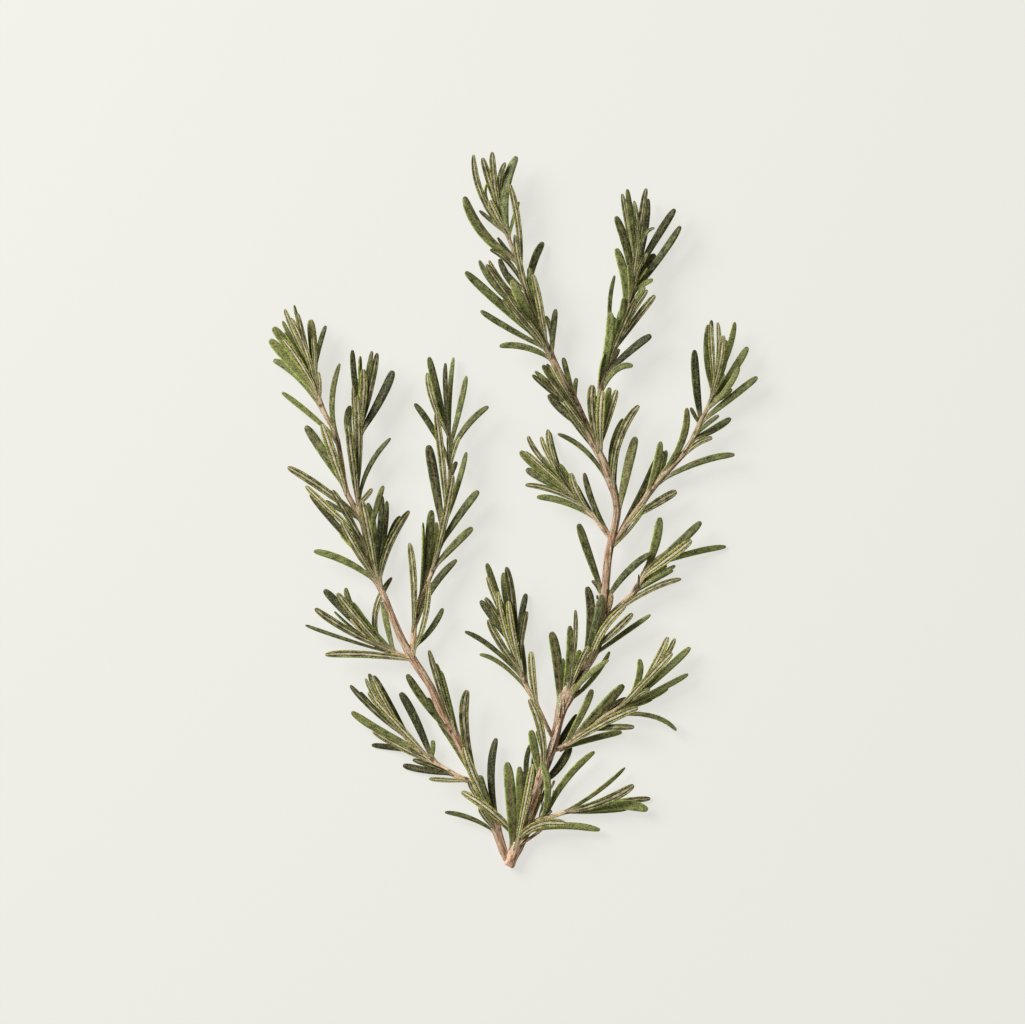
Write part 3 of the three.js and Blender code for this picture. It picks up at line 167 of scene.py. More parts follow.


# %% [markdown]
# ## The leaves
#
# Each leaf is one row: foot, middle and tip as seen from above, then the width, all in
# millimetres, then a code. Its first letter says how the leaf sits: T level with its upper
# side showing, U raised and rolled over, E on edge, D drooping beneath the others and
# darkened with painted shade. Small letters change the look: u or a for the underside or
# the upper side showing, l light, d dark, n no painted shade on a D leaf, b a brown middle
# line, x a dry brown tip, w withered, g grey-green, p a pale green. The letters l and d are
# partly painted light and shade, and p is painted light on leaves that lie in shade. A last
# number raises the leaf. Each group is named with its stem.

# %% Where the leaves grow
LEAVES = {
    # foot x y, middle x y, tip x y, width, code and, if there is one, how far it is raised
    ("base_leaves", "main_stem"): rows_of("""
    0 -134 -0.5 -117 -2.2 -100.4 4.2 Tbl 5.5, 3.5 -130 2.8 -116 2.8 -102.5 3 Dn,
    8 -120 4.6 -111 4.1 -104.5 1.6 D, 9 -115 5.2 -104 7.3 -93.5 2 D,
    1.5 -133 5.5 -115 8.1 -101.2 2.6 Ul, 2.5 -131.5 -8 -120.6 -20.6 -112.5 3.2 Duln 8,
    1.2 -130.6 10.2 -125.4 21.3 -125.2 3.4 Ul, 5.2 -127.4 20 -126 35.2 -128 2.8 Tl -1,
    9.3 -114.5 8.6 -106 8.6 -98 2.4 D"""),
    ("lower_main_leaves", "main_stem"): rows_of("""
    12 -105 9 -96 7.3 -87.8 3.2 Tl, 14 -100 11.5 -93 9.8 -88.2 2 D,
    13 -108.5 18.7 -102.8 23.4 -94.2 3.2 D, 13 -102 11.6 -88 6.6 -75.2 3 Ul"""),
    ("middle_main_leaves", "main_stem"): rows_of("""
    20.5 -76.5 18.1 -61 15.5 -48.4 3.8 Tb, 21.5 -74.5 20.7 -65 20.2 -59.2 1.4 Dn,
    22.5 -73 23 -57 22.8 -46 2.8 T, 23 -72 24.9 -55 25.1 -39.5 1.8 U,
    25 -69 25.5 -61.5 27 -55.8 2.4 Dnlp, 30.2 -60 31.6 -43 29.8 -30.4 3.4 D,
    30.5 -58.5 33.2 -46.3 35.8 -33.4 3.1 Tg 3, 24.5 -69.8 27 -61 30.5 -54 2.4 U,
    27 -65.7 29.2 -59.5 32.5 -54 2.2 Dn, 37 -32 30.1 -16.5 26.4 -5.2 3.2 Td,
    36.8 -35 34 -30.3 31.8 -28.2 1.6 D, 36.9 -34.5 45.8 -24.4 55.5 -17 2.8 T,
    20.4 -72.4 29.4 -66.3 38.5 -59.6 2.1 Ual, 21.5 -74.5 32.4 -67.2 39 -56.4 2 Dlnp,
    32 -56.5 43.9 -49.5 55.3 -41.6 2.1 T, 33 -54 41.7 -47.4 48 -41 2.6 U,
    33.5 -53 36 -51.8 38 -50.3 1.8 Dn, 34.5 -51 39.3 -44.6 45 -38.8 1.4 E,
    30.2 -59.5 35.9 -47.7 45.3 -38 2.8 Ul 1, 37.2 -42.5 39 -37.5 39.4 -33 2 Tw 1.5"""),
    ("bend_leaves", "main_stem"): rows_of("""
    38.8 13.5 29.3 24.2 17.9 30.7 2 T -1, 39.5 11.5 42.5 29 50.6 42 3 Ud -1,
    40 9.5 41.6 24.5 46.3 36 2.2 D, 39.2 12.5 39.3 24.3 44.3 37 2 Dn,
    41.5 2 46 17 49.3 29.6 3.6 Tb"""),
    ("upper_main_leaves", "main_stem"): rows_of("""
    26.8 39.5 17 46.6 7.8 54.2 2.2 Ud, 26 41 17 48.5 8.9 55.7 2 T, 24.2 45 17.6 50.8 12 58.2 2.8 Td,
    23.8 46 18 52.2 13.7 58.8 1.8 D, 25.5 42 19.7 50 15.3 58 2 Ul,
    29 34.5 20.8 39.4 14.3 46.5 3.2 D, 28.5 35.5 20.6 44.2 14 53 2.4 U 1,
    30.5 31.5 25.2 37.7 20.5 43.8 2.2 U, 32.5 27 26.9 32.5 22 38.8 2.2 Tu,
    23 47.5 21.7 55 20.3 61.2 2.2 Td, 24.2 45.2 25 49.5 25.7 53 1.8 T"""),
    ("crown_lower_leaves", "main_stem"): rows_of("""
    11.5 68 -4.8 82.4 -19 95.6 3.4 T, 13.8 65.5 -2.3 73.2 -12.8 79.9 2.4 Td,
    15.8 61.5 4.5 65.7 -5.3 65.6 2.6 T, 8.8 78 -5.2 87.6 -13.4 100.4 2.4 Dn,
    9.5 76 -2.6 86.5 -10.4 98.4 2.4 Ud, 8 80 -2.8 89 -9.4 100 2 U, 6.3 85 -1.2 92 -5.2 101 2.6 Dd,
    5.2 88.5 0.3 92 -4 97 2 Dd, 12 70 4.3 77 -2 85.6 2.2 U 2, 11 72.5 4.2 82 -0.2 92.2 3.6 Tl 5,
    8 80 3.6 94.5 0.9 110.3 2.4 U, 12.8 68 11.2 80.5 8.2 94.4 2.6 Ul,
    14.8 63.5 16.2 72 17.3 80.6 2.4 Td, 15 63 15.8 70.5 13.3 78 2 Dun,
    14.5 64 5 73.8 -4 84.5 2.2 Ud, 14 65 8 73 1.5 80 2.2 U 1, 9 79 8.3 88.8 6.4 97 2.8 T 2,
    5.5 87.5 8 98.5 12.4 107.6 3 D, 3.5 91 -1.8 99.8 -9.1 104.3 2 Tud"""),
    ("crown_tip_leaves", "main_stem"): rows_of("""
    -2.7 111.5 -12.4 125.3 -15.6 142.3 2.4 U, -4.5 116 -8.8 130 -12 140.9 2.6 Ud,
    -5 118.5 -7.3 131 -8.1 143.2 2.6 U 2, -5 119 -5.5 130 -2.8 139 2.2 U,
    -2 111.5 -3.4 127 1.8 141.6 3.6 Tg 3, -4.6 116.5 -10.6 124 -10 131 2.4 El,
    -2.5 111 -3 119.5 -2.5 127.5 2.6 Dd, 3 97 2.4 114.5 -1.2 130.5 2.4 U,
    -1.8 109.5 0.4 117 2.7 123.4 2.2 E, -2.7 111.5 -8.5 116 -13.3 120.2 1.6 D,
    1.6 101 -12 110.6 -19.2 125.7 3.8 T, 1 102.5 -2.8 105 -6 109.5 1.4 D,
    -3.8 113.5 -6.9 119 -9.2 124 2.8 Ul -1"""),
    ("left_lower_leaves", "left_stem"): rows_of("""
    -11 -117.5 -16 -105.2 -19.4 -94.6 3.3 Ul, -8.2 -121 -11.7 -111.5 -12.9 -105.8 2.7 Td 2.5,
    -8.5 -122.5 -15.4 -113 -17.6 -108 1.6 U -1.5, -6.5 -127.5 -17 -123 -27.2 -120.8 1.9 T,
    -7 -127 -11.2 -122.6 -13.3 -118.6 1.9 Ul, -6.5 -127 -8 -122.5 -10.5 -119 2 Dn,
    -7.2 -123.5 -8.9 -106 -6.4 -91 3 Td"""),
    ("left_middle_leaves", "left_stem"): rows_of("""
    -24.5 -87 -34.9 -76.9 -42.3 -65.4 3.2 T, -25.5 -85.5 -31.5 -79.5 -34 -75 2.2 D,
    -17.2 -104.5 -23.6 -93.8 -30 -84.5 1.8 Dn, -25 -87 -29 -71 -33.4 -55.6 2.4 U 1,
    -24.8 -87.5 -27 -74 -30.5 -61 2.2 Ul, -23.5 -88 -26.5 -74 -29 -64 2.6 Tl,
    -15 -104 -19.6 -86 -18 -71.6 3.6 U"""),
    ("left_upper_leaves", "left_stem"): rows_of("""
    -67 9 -71.7 22 -76 34.6 3.4 Ul, -67.5 11 -75.5 23 -83 34 3.6 D,
    -62 -2 -76.7 9.3 -90 17.4 3 U -1, -58 -15 -66 -1.8 -72 8.2 2.6 U,
    -58.6 -12 -72 -0.5 -82.8 10 2.4 Ul, -56.6 -20 -69.3 -7.3 -81.3 6.5 2.4 D,
    -55 -26 -62.5 -15.5 -68.3 -4 2.8 Ul, -57 -18.5 -64 -14.8 -69.5 -8.5 1.8 El,
    -61.5 -2.5 -69.5 0.5 -75 4 1.8 Dn, -54.5 -27 -66.8 -20.1 -79.6 -16.2 2.8 T,
    -54.8 -26 -57.2 -10 -60.2 4.3 3 U 2, -56.3 -21 -55.3 -8 -58.2 3.2 2.4 Dnl,
    -58.6 -12 -54.5 1.2 -51.6 10 2.2 T, -55.8 -23 -53 -9 -52.1 6 2.4 Td,
    -54.6 -26.5 -51.3 -10 -50.4 4 2.2 D, -53.6 -28.5 -49.2 -13 -41.1 0 2.8 Ud,
    -54 -28 -49.4 -11 -44.8 -2.3 2.4 D, -57.5 -19 -61 -13.5 -64 -8.5 1.8 D"""),
    ("left_tip_leaves", "left_stem"): rows_of("""
    -80 57 -84.5 71 -87.3 82.2 2.2 E, -80.3 57 -86.4 69 -91 80.5 2 U,
    -79.8 56 -87.8 67.5 -92.1 76 1.8 Dn, -80 56 -83.2 67.5 -85.8 78.9 2 U,
    -79 52 -82.8 65 -88.8 77 2.4 U, -79.5 54 -79.8 66 -80.8 76.5 3.4 Tl,
    -79.8 55 -77.4 65.5 -74.6 74 2 T, -79 52 -79 61 -79.7 69.2 1.8 U,
    -79 51 -88.5 64 -95.8 73.3 3.6 Tl, -78.3 48 -88.5 59 -97.2 68.5 3.8 Tl -1.5,
    -78.5 49 -85.3 59.7 -91.7 68.3 2.6 Ul, -78.7 50 -85 62 -91.2 71.3 1.8 El,
    -76.3 42 -86 54.3 -96 60.2 3 Dn, -77.5 45 -77 50 -77.6 55.5 1.6 Ul,
    -71 30.5 -82 39.4 -92.3 47.3 2.2 Tl, -70.5 28 -72.6 42 -69 59 2.2 T"""),
    ("inner_left_leaves", "inner_left_stem"): rows_of("""
    -60.3 36 -63.1 51 -64 64.3 2.3 Td, -60 38 -60.8 50 -60.8 61.8 2.6 Ed,
    -60.4 35 -59.4 46 -59.6 56.5 3 U, -59.6 41 -57.8 54 -56.1 63.8 1.9 T,
    -59.6 41 -58.4 52 -57.2 61 1.6 Dn, -60.4 35 -56.8 48.6 -54 63 2.6 Ud,
    -60.8 32 -52.4 45.2 -47.8 56 3.5 Td, -61.8 22 -66 33 -64.8 42 3 D,
    -61.7 5 -63.9 20 -65.6 34 3 U, -62 12 -61.2 29 -61.8 46 2.8 Ud 1,
    -61.8 22 -63.1 36 -63.8 50 1.8 Tu, -61.8 6 -57.2 18.2 -48.6 29 2 T,
    -60 38 -62 46 -62.3 53 1.6 D, -61.5 3 -58.8 5.2 -56 8.8 2 U"""),
    ("long_left_lower_leaves", "long_left_stem"): rows_of("""
    -31 -21 -26.6 -2 -23.9 14.4 2.8 U, -29 -12.5 -20 0 -13.5 7.9 3 Td,
    -31 -21 -22.8 -13.2 -15.9 -6.8 3 T, -34 -29 -33.4 -13 -32.4 0.3 3.3 T,
    -37 -33 -35.6 -18 -35.8 -4.6 2 E, -32 -24 -31 -13 -30.5 -4.6 2.2 Dnl,
    -39.2 -45.5 -39.4 -28 -41.2 -12.7 2.6 Ul, -38.4 -42 -32.2 -30.6 -22.2 -19.6 2.8 Td,
    -38.5 -54 -32.4 -47.3 -27.8 -39 2.3 T, -38.8 -56 -34.8 -43 -33.3 -27.4 2.2 U"""),
    ("long_left_upper_leaves", "long_left_stem"): rows_of("""
    -27 33 -30.3 48 -33.4 61.5 2.9 T, -25.8 31 -32 43.5 -34 55.1 2.1 U,
    -26 33 -26.8 46 -26.8 59.1 1.9 Td, -25.6 29 -25.2 46 -23.6 61.5 1.9 Dnl,
    -25.4 26 -21.2 40.5 -18.4 53.9 2.3 T, -25.2 23 -18 34.4 -9.5 41.6 2.5 T 1,
    -25.3 21 -32.4 33.5 -39.2 42.8 2.5 T, -26.3 3 -28.4 22 -30.6 39.2 2.7 U 1,
    -25.3 18 -25.4 25 -25.7 29.4 1.6 U, -25.2 17 -23.4 24.4 -21.1 29.4 2 U,
    -27.6 -5.2 -31.3 13 -33.7 26.3 3.8 D, -27.4 -4.5 -22.2 9 -18.4 23.5 2.2 Tl,
    -25.6 12 -24 16 -22.3 19.6 2 Dn"""),
    ("left_side_leaves", "left_side_stem"): rows_of("""
    -51 -55.6 -70 -50.5 -83 -45.8 1.5 T, -50 -56 -66.5 -47.6 -79 -39 2.8 Ud,
    -60 -49.5 -66.7 -44.8 -71.3 -40.3 1.6 Ed, -57 -52 -67.5 -40 -75.6 -31.7 3.2 D,
    -52 -55.2 -63 -42.1 -70.1 -32.9 2.7 U, -55 -53.6 -63.5 -41 -66.7 -30.8 2.4 T,
    -49 -56.2 -58 -46.4 -64.3 -36.6 3 Tl, -42 -59.6 -60 -57.4 -75 -57.7 2.8 U -2,
    -52.6 -54.7 -55.6 -41.5 -48.2 -26.7 2.4 Dun, -48 -56.6 -50.2 -46.5 -52 -36.5 2.4 Dn"""),
    ("low_left_leaves", "low_left_stem"): rows_of("""
    -33 -98.8 -39 -83.2 -45 -72.8 3.3 Td, -32.2 -99 -31.8 -95 -32 -91.9 1.8 T,
    -43 -91.5 -49.4 -77 -55.6 -66 2.4 Td, -43 -90.5 -50.5 -78 -56 -66.5 2.4 Ul,
    -45 -88.5 -53 -78 -58.8 -67 1.8 U, -36 -96.5 -47.5 -84 -57.8 -72.5 2.8 Ul,
    -44 -89.5 -54 -81 -61 -72.5 2.2 Td, -44.5 -89 -56 -79.5 -65 -69.8 2.2 Ud -2,
    -48 -85 -53.6 -74 -57.6 -65.3 2.2 Dn, -39 -94.3 -53.4 -88 -64.5 -80.5 3 T,
    -32 -99.5 -46 -94.2 -56 -88.3 2.4 Tu, -37 -96 -48 -95 -56.5 -94 2.2 D,
    -25 -104 -33 -102 -40 -99.5 2 Ud, -25 -104 -36 -103.9 -44 -102.1 2.6 D,
    -19 -108.6 -26.5 -107.9 -33.5 -107.2 1.8 Ul -2"""),
    ("inner_leaves", "inner_stem"): rows_of("""
    -0.6 -48 -6.4 -33 -10.3 -21 2.6 T, -0.2 -49.5 -6.6 -36 -10.1 -26.3 2 U,
    2.4 -61 -3.6 -46 -5.8 -32.3 2.4 Ul, 0.8 -54 -6.4 -41.5 -11 -34.8 2.2 U,
    0.8 -54 -8 -43 -12.8 -36 2.6 Dd, 3.3 -63.5 -4.4 -54 -9.8 -43.5 2.8 U,
    4 -66 -8.3 -54.5 -19.2 -48.4 2 T, 5.5 -71 -4.3 -61.2 -13.3 -57.6 1.8 T,
    1.2 -55.5 0.2 -37 -2.5 -22.4 2.8 Ud 1, 0 -50.5 -3 -35 -3.6 -24.8 2.2 Dn,
    2.6 -62 -0.2 -48 -1.6 -36 2.6 Ul 2, 0.8 -54 3.7 -41.5 5.4 -33.2 2.4 D,
    2.4 -60.5 4 -48.5 5.8 -40.2 2.2 Ud, 5 -68.5 4.1 -57 2.8 -50 2 Dn,
    9.2 -77 7.9 -66 7.4 -56.2 2.8 Ul"""),
    ("mid_left_leaves", "mid_left_stem"): rows_of("""
    20.5 11.3 10.4 22 6.3 29.9 2 Tu, 19.6 12.5 14 22.5 11.5 29.6 1.8 Tu,
    20 12 15.4 23.5 14.2 32.5 2.2 Ul, 20.5 11.3 16.6 23 15 31.5 1.8 D,
    22.5 8.5 10.8 16.6 3 23.8 3.2 T, 23 8 12.3 17 5 23.5 2 Ul, 24 7 13 12.4 5.4 16.6 3.2 Dn,
    27.5 3 16 8.3 5 10.2 2.2 U -1, 30.5 -1 20 3.9 9.6 5.3 2.6 Tl,
    23.5 7.5 15.8 16.5 12.7 21.5 1.6 E, 24 7 17.8 15.5 14.7 21.6 1.6 Ul,
    25 6 20.4 13.2 17.3 18.4 2.2 U, 26 4.5 22.2 12.8 18.6 18.6 2.4 Tlp,
    29.5 0.5 25.4 7.8 23.3 15.1 2.6 Ul, 31 -0.8 27.7 4.6 25 10.8 2.6 Dd,
    36.8 -8 32 2.8 28.7 15.2 2.4 Td"""),
    ("top_right_base_leaves", "top_right_stem"): rows_of("""
    34.8 26 31.7 40 31.9 50.2 3.4 U, 34.8 27 35 38 35.8 47.8 3.4 Ul 2.5,
    34.8 25 33.4 36 33.8 45.8 2.2 Tul 1, 34.8 27 38.6 38.5 41.6 48.3 2.8 Ul,
    34.7 35 37.6 43.5 38.9 49.3 2.4 Dnlp"""),
    ("top_right_lower_leaves", "top_right_stem"): rows_of("""
    36 52 38.6 67 39 79.3 3.4 Tlp 3, 40.5 66.5 38.6 81 40.9 94 1.7 Ead,
    41 68 41.6 73.5 40.4 77.5 1.4 Dd, 41.5 69 42.4 75.5 43.6 80.6 2 Dd,
    40.5 66.5 43.2 76 44.3 85 2.2 T, 38 59 43.3 71 49.3 84.5 2.6 Ud 1, 37 56 40 60 42.8 64.8 2 Dn,
    35.5 50 35.1 56.5 36.8 63 1.6 E, 37 55.5 48.2 64.9 55.5 70 3 Td,
    35.5 49 41.2 56.6 48.2 57.7 2.6 T, 39.5 63.5 49.5 76.8 57 86 2.6 U -1,
    42 70 49 80.8 54 88.2 2 Tu"""),
    ("top_right_tip_leaves", "top_right_stem"): rows_of("""
    49.8 96 46.4 112 43.8 126.8 2.2 Tu, 50 98 47.6 114 45.8 128.4 2.4 Uad,
    50.2 99 48.4 112 47.3 124 2 Dd, 50.2 99 50.2 112 48.5 123.7 1.8 U,
    50.1 98.5 51.1 114.5 53.4 128.7 2.4 Ud 1, 50 98 53.3 112 54.3 125 2.2 D,
    50.1 98.5 52 109 56.8 112.7 1.4 U, 49 91 45.5 106 41.2 117.7 3.2 Td,
    46 80.5 45.2 92.5 41.3 104.9 3.4 Tl, 47.3 84.5 47.6 91.5 46.4 98 2.6 Ua -1,
    49.9 97 58 109.8 65 120.6 3 Td, 50 87.5 59.3 101.7 67.2 113.8 2.8 T,
    49.3 92.5 53.5 98.5 57.3 102.5 3 D, 49.6 95 51.9 99.5 53.8 103 1.8 Ul,
    48.2 87.5 52.2 90.4 56.2 92.3 2 Tl, 48.8 90.5 51.6 93.8 54 97 1.4 E,
    48 86.5 48.8 96.5 50.2 108 2.2 U, 47.5 82 50.5 86.5 53 89.5 1.8 Tl"""),
    ("right_upper_leaves", "right_upper_stem"): rows_of("""
    45 -6.8 52.4 8 57.8 21 3 D, 55.2 8 57.6 18 59.2 27.7 2.8 T, 56.5 9.3 59.4 17.5 60.2 24 2 D,
    59.8 13.5 60.8 19.5 61.6 24.2 1.8 Dn, 60.5 14.2 68 27.3 69.6 41.2 2.8 Tb,
    60 13.5 75.5 19.9 89 22.3 2.6 T, 50 -2 58.5 3.6 65.7 7.7 3.2 Tu,
    46 -5.2 49.8 -1.7 53 2.5 1.8 Ul, 41 -13.3 47.2 -7.2 52.8 0.5 1.6 E"""),
    ("right_tip_leaves", "right_upper_stem"): rows_of("""
    76 37 73.5 50 72.8 64.4 3.2 Td, 75 35 72.9 38 71.2 41.2 1.6 Td, 81 49.5 79.4 64 79.8 76.4 2.2 D,
    80.6 48 77.6 61 78.3 74.5 2.4 T, 81 49.5 79.8 62 79 74.8 2.2 U,
    81.3 50.5 82.6 63.5 82 75.3 1.8 Ul, 80 46 82.8 58 84.2 70 2.6 Ul 1,
    81.3 50.5 86.4 63.5 88.9 75.5 2.4 Tl, 80.5 47.5 84.7 57.5 85.5 68.5 2.2 Dn,
    79.3 44 88 55.5 94.1 65.5 3 T, 78 41 85.8 48.6 90.5 57.5 2.3 Ual,
    76.5 36.5 88.9 46.3 98 53.5 2.8 Tl, 79 43 84.6 45.5 87.9 48.8 1.6 Duxnlp,
    72.5 29.5 80 32.2 87.4 37 2.8 T, 73 30.5 78 34.8 82.5 38 1.8 Uad,
    69 22.5 74.3 27.2 80 29 2.2 Tu, 80 46 82.6 50.3 84.8 54.5 1.4 E"""),
    ("right_mid_leaves", "right_mid_stem"): rows_of("""
    55 -23 57.2 -13.7 59 -2.6 3.4 Tl 1, 56 -21 66.6 -13.1 75.5 -4.4 3.2 Td,
    52.5 -26 63 -18.6 71.6 -11.7 3.2 Ul, 57 -23 72 -16.8 85.7 -14.5 2.4 Dnl,
    50 -30.5 58.5 -26 65.2 -22 1.8 Tl, 42 -40 54.8 -31.5 67.6 -27.4 2.2 Tu,
    49 -31.8 57.5 -27.6 64.5 -24 1.6 Dunlp, 51.5 -28.5 57 -25 62 -22 1.8 Dnlp"""),
    ("right_low_leaves", "right_low_stem"): rows_of("""
    17.5 -95.5 21.9 -88.6 26.2 -81.7 3 D, 22 -93.6 28 -81 31.9 -71.5 2.8 Tb,
    26 -90.5 35.8 -79 44.6 -69.7 3.8 Tb, 30 -87.5 38 -80.3 46 -75.3 2.8 Du,
    24 -92 37.5 -84.3 50.3 -78.8 3 U, 38 -81.5 54.8 -81.6 65.7 -88.2 1.9 T -1,
    30 -87.5 39.5 -86.7 48.8 -86.6 2.4 U -1.5, 21 -94.2 33 -91.1 44 -88.8 2.5 Dnl"""),
    ("right_low_tip_leaves", "right_low_stem"): rows_of("""
    47 -76 50.8 -67 50.7 -59.4 2.6 Tl, 49.5 -74 57 -61.6 62.2 -50.4 2.6 Ul,
    51 -72.6 60 -60.5 65 -51.1 2.2 Tul, 44 -78 54.2 -67 63.9 -56.7 2.8 Ul 2,
    50 -73.5 62 -63.4 71.2 -54.7 2.8 Tl, 44 -78 58.6 -71.8 70.4 -65.4 2.3 Tl,
    42 -79.5 52.7 -76 62.5 -71 2.6 Dunlp, 42 -79.5 49.5 -78 56.2 -75.6 1.6 Duxnlp,
    46 -76.8 51 -73.3 55 -71.3 1.8 U"""),
    ("base_right_leaves", "base_right_stem"): rows_of("""
    12.4 -123.4 14.4 -111.5 11.6 -100.2 2.7 Tlp 4.5, 13.6 -122.8 20.6 -108.3 33 -96.4 2.7 T 1,
    22 -120.7 33.4 -113.2 45.2 -102.8 1.8 T, 24 -120.3 37 -116.3 48.6 -109.7 3.3 U,
    28 -119.8 42 -117.6 54.3 -119.9 3.8 Tlp, 30 -119.7 44 -116.6 55.4 -115.5 2.4 Dun,
    22.5 -120.6 29.5 -118.6 35 -116.8 2 D, 24 -121 34 -120.7 46 -119.9 1.6 Dunlp"""),
}
print("groups:", len(LEAVES), "leaves:", sum(len(rows) for rows in LEAVES.values()))


# %% [markdown]
# ## Dry strands on the bark
#
# The bases of old leaves stay on the wood as short dry strands, and a few withered leaves
# cling beside them. Each strand is straight: its two ends as seen from above and its width
# in millimetres, then its tint. They belong to the leaf group that stands on that stretch.

# %% Where dry strands lie
# Painted light and shade on the strands: pink is a pale tint painted as light on strands that lie
# in the shade of leaves, rust and rosy are lightened against the same shade, and the dark strands
# partly stand for painted shade in the gaps between fibres.
TINTS = {
    "dark": "#45301f", "rust": "#d6a276", "tan": "#c8aa84", "rosy": "#cfae92",
    "pink": "#f0d2bc", "cream": "#e3d9ba", "grey": "#c4bf9c", "green": "#a0ae60",
    "olive": "#666c3c",
}
STRANDS = {
    # foot x y, tip x y, width, tint
    "base_leaves": rows_of("""
    1 -134 5.2 -128.6 0.9 dark, 2.8 -133.8 7.2 -128.4 0.9 tan, 4.3 -133.2 12.2 -127.4 1.3 tan,
    0.7 -133.6 2.2 -127.6 1.7 cream, 3.6 -134.2 9.3 -129.2 0.7 dark, 5.6 -124.2 7.2 -120 1.8 grey,
    6.6 -124.4 11.4 -111 1.2 rust, 8.6 -123.6 12.2 -113 0.9 rust, 9.4 -121 12.2 -110 0.9 green,
    10.8 -122 13 -116 1 olive, 7.4 -119.4 10.2 -110.4 0.8 rosy, 11.6 -117.4 12.8 -111.6 0.8 dark,
    13.2 -122 15.8 -120.1 1.3 olive, 15.4 -111.5 16.8 -108 1 tan, 15.9 -115 16.7 -112 0.8 green,
    12.2 -95 13.6 -99.6 1.5 dark, 10.8 -103.5 11.4 -97 1 rosy, 7 -121 10.6 -108.5 1.2 pink,
    10.2 -112.5 13.4 -100 1.5 pink, 13 -101.5 16.2 -90.5 1.6 pink, 12 -104 14.2 -96.5 0.7 rust,
    15.2 -97 18.4 -85.5 1.2 pink, 14 -99 16 -92.5 0.6 dark, 16.8 -91.5 19.2 -83.5 0.9 tan"""),
    "middle_main_leaves": rows_of("""
    18.6 -81.5 19.1 -72.5 1.7 grey, 20.4 -81 20.3 -75 1 rosy, 21 -79.5 23.9 -73 1.4 rosy,
    20.4 -78.5 23.4 -72 0.8 tan, 20.9 -73.5 21.1 -67 1.2 cream, 22.2 -69.5 24.6 -65 1 cream,
    24.4 -67.5 28.4 -60.5 1.3 grey, 22.6 -66.5 25.6 -59 1.1 olive, 25.6 -65 29.6 -58.5 1.1 grey,
    27.6 -60.5 31 -54.6 1.3 olive, 25.4 -72.4 27.3 -69.4 1.1 rosy, 25.4 -73 27 -71.8 0.9 dark,
    24.6 -69 28.6 -63.6 0.7 dark, 27.6 -66.4 31.2 -61 1.3 pink, 29.4 -64.4 30.8 -62.6 0.8 dark,
    31 -61 33.2 -56.6 1.5 pink, 32.9 -57.2 35.2 -50.8 1.4 pink, 28.4 -59.8 30.2 -56.2 0.6 dark,
    33 -39.8 34.1 -35.4 0.8 rosy, 34 -36 33.9 -33.8 0.8 dark, 35.2 -37 35.2 -32 1.3 rosy,
    37.2 -41.5 37.5 -31 0.6 tan, 35.2 -44.8 37 -41 1.4 pink, 39.2 -20 40.2 -14 0.6 dark,
    38.8 -21.5 39.4 -13.5 0.8 tan"""),
    "right_mid_leaves": rows_of("""
    50.3 -30.5 50.5 -25.5 0.6 dark, 52.5 -29.5 54.3 -24.5 0.6 dark, 51.5 -31 56 -26.8 1 tan"""),
}
print("dry strands:", sum(len(rows) for rows in STRANDS.values()))


# %% [markdown]
# ## Finding a leaf's foot
#
# A leaf grows out of its stem's side. So the foot goes to the nearest place on the stem's
# middle line, then out to the bark: on the side that the tip is on, or on the foot's own
# side if the foot is listed clear of the bark. Heights above the stem are chosen by how the
# leaf sits, with a little spread so that no two lie in one plane. A dry strand lies on top.
# The spread isn't random: steps of 0.618, wrapped at one, fall evenly between 0 and 1.

# %% How leaves sit
UP = Vector((0, 0, 1))
POSES = {
    # shares of the radius sideways and upwards, rise of middle and tip in mm, roll in radians
    "T": (0.9, 0.2, 0.9, 1.6, 0.2),
    "U": (0.4, 0.9, 3.6, 5.6, math.pi),
    "E": (0.7, 0.6, 2.4, 3.4, 1.2),
    "D": (0.8, -0.5, -2.4, -5.0, 0.1),
}


def between(least, most, order, step=0.618, start=0.0):
    """A number between these two that belongs to one leaf, from its place in the table."""
    return least + (most - least) * ((order * step + start) % 1)


def side_and_up(tangent):
    """The level sideways direction and the upward one, square to a direction of travel."""
    side = tangent.cross(UP).normalized()
    return side, side.cross(tangent).normalized()


# %% The nearest place on a stem
def nearest_on_stem(rows, x, y):
    """The place on a stem's middle line nearest to (x, y), its radius and its direction."""
    best, spot = None, Vector((x, y))
    for low, high in zip(rows, rows[1:]):
        start, end = Vector(low[:3]), Vector(high[:3])
        run = (end - start).to_2d()
        share = (spot - start.to_2d()).dot(run) / run.length_squared
        share = min(1.0, max(0.0, share))
        point = start.lerp(end, share)
        distance = (point.to_2d() - spot).length
        if best is None or distance < best[0]:
            radius = low[3] + (high[3] - low[3]) * share
            best = (distance, point, radius, (end - start).normalized())
    return best[1:]


def foot_side(leaf, foot, radius, side):
    """Which side of its stem a leaf grows from: 1 or -1."""
    listed, tip = Vector(leaf[:2]), Vector(leaf[4:6])
    aimed_at = listed if (listed - foot.to_2d()).length > radius else tip
    return 1.0 if side.to_2d().dot(aimed_at - foot.to_2d()) >= 0 else -1.0


# %% A leaf's curve
BARK_GAP = 0.3  # millimetres from the bark to a leaf that stands on top of it
LOWEST_LEAF = 1.15  # millimetres from the table to a leaf's middle line
UNDERSIDE_ROLL = math.pi + 0.15  # radians, for the letter u
UPPER_SIDE_ROLL = 0.25  # for the letter a
RISE_SPREAD = (0.75, 1.25)  # what a leaf's rises are multiplied by


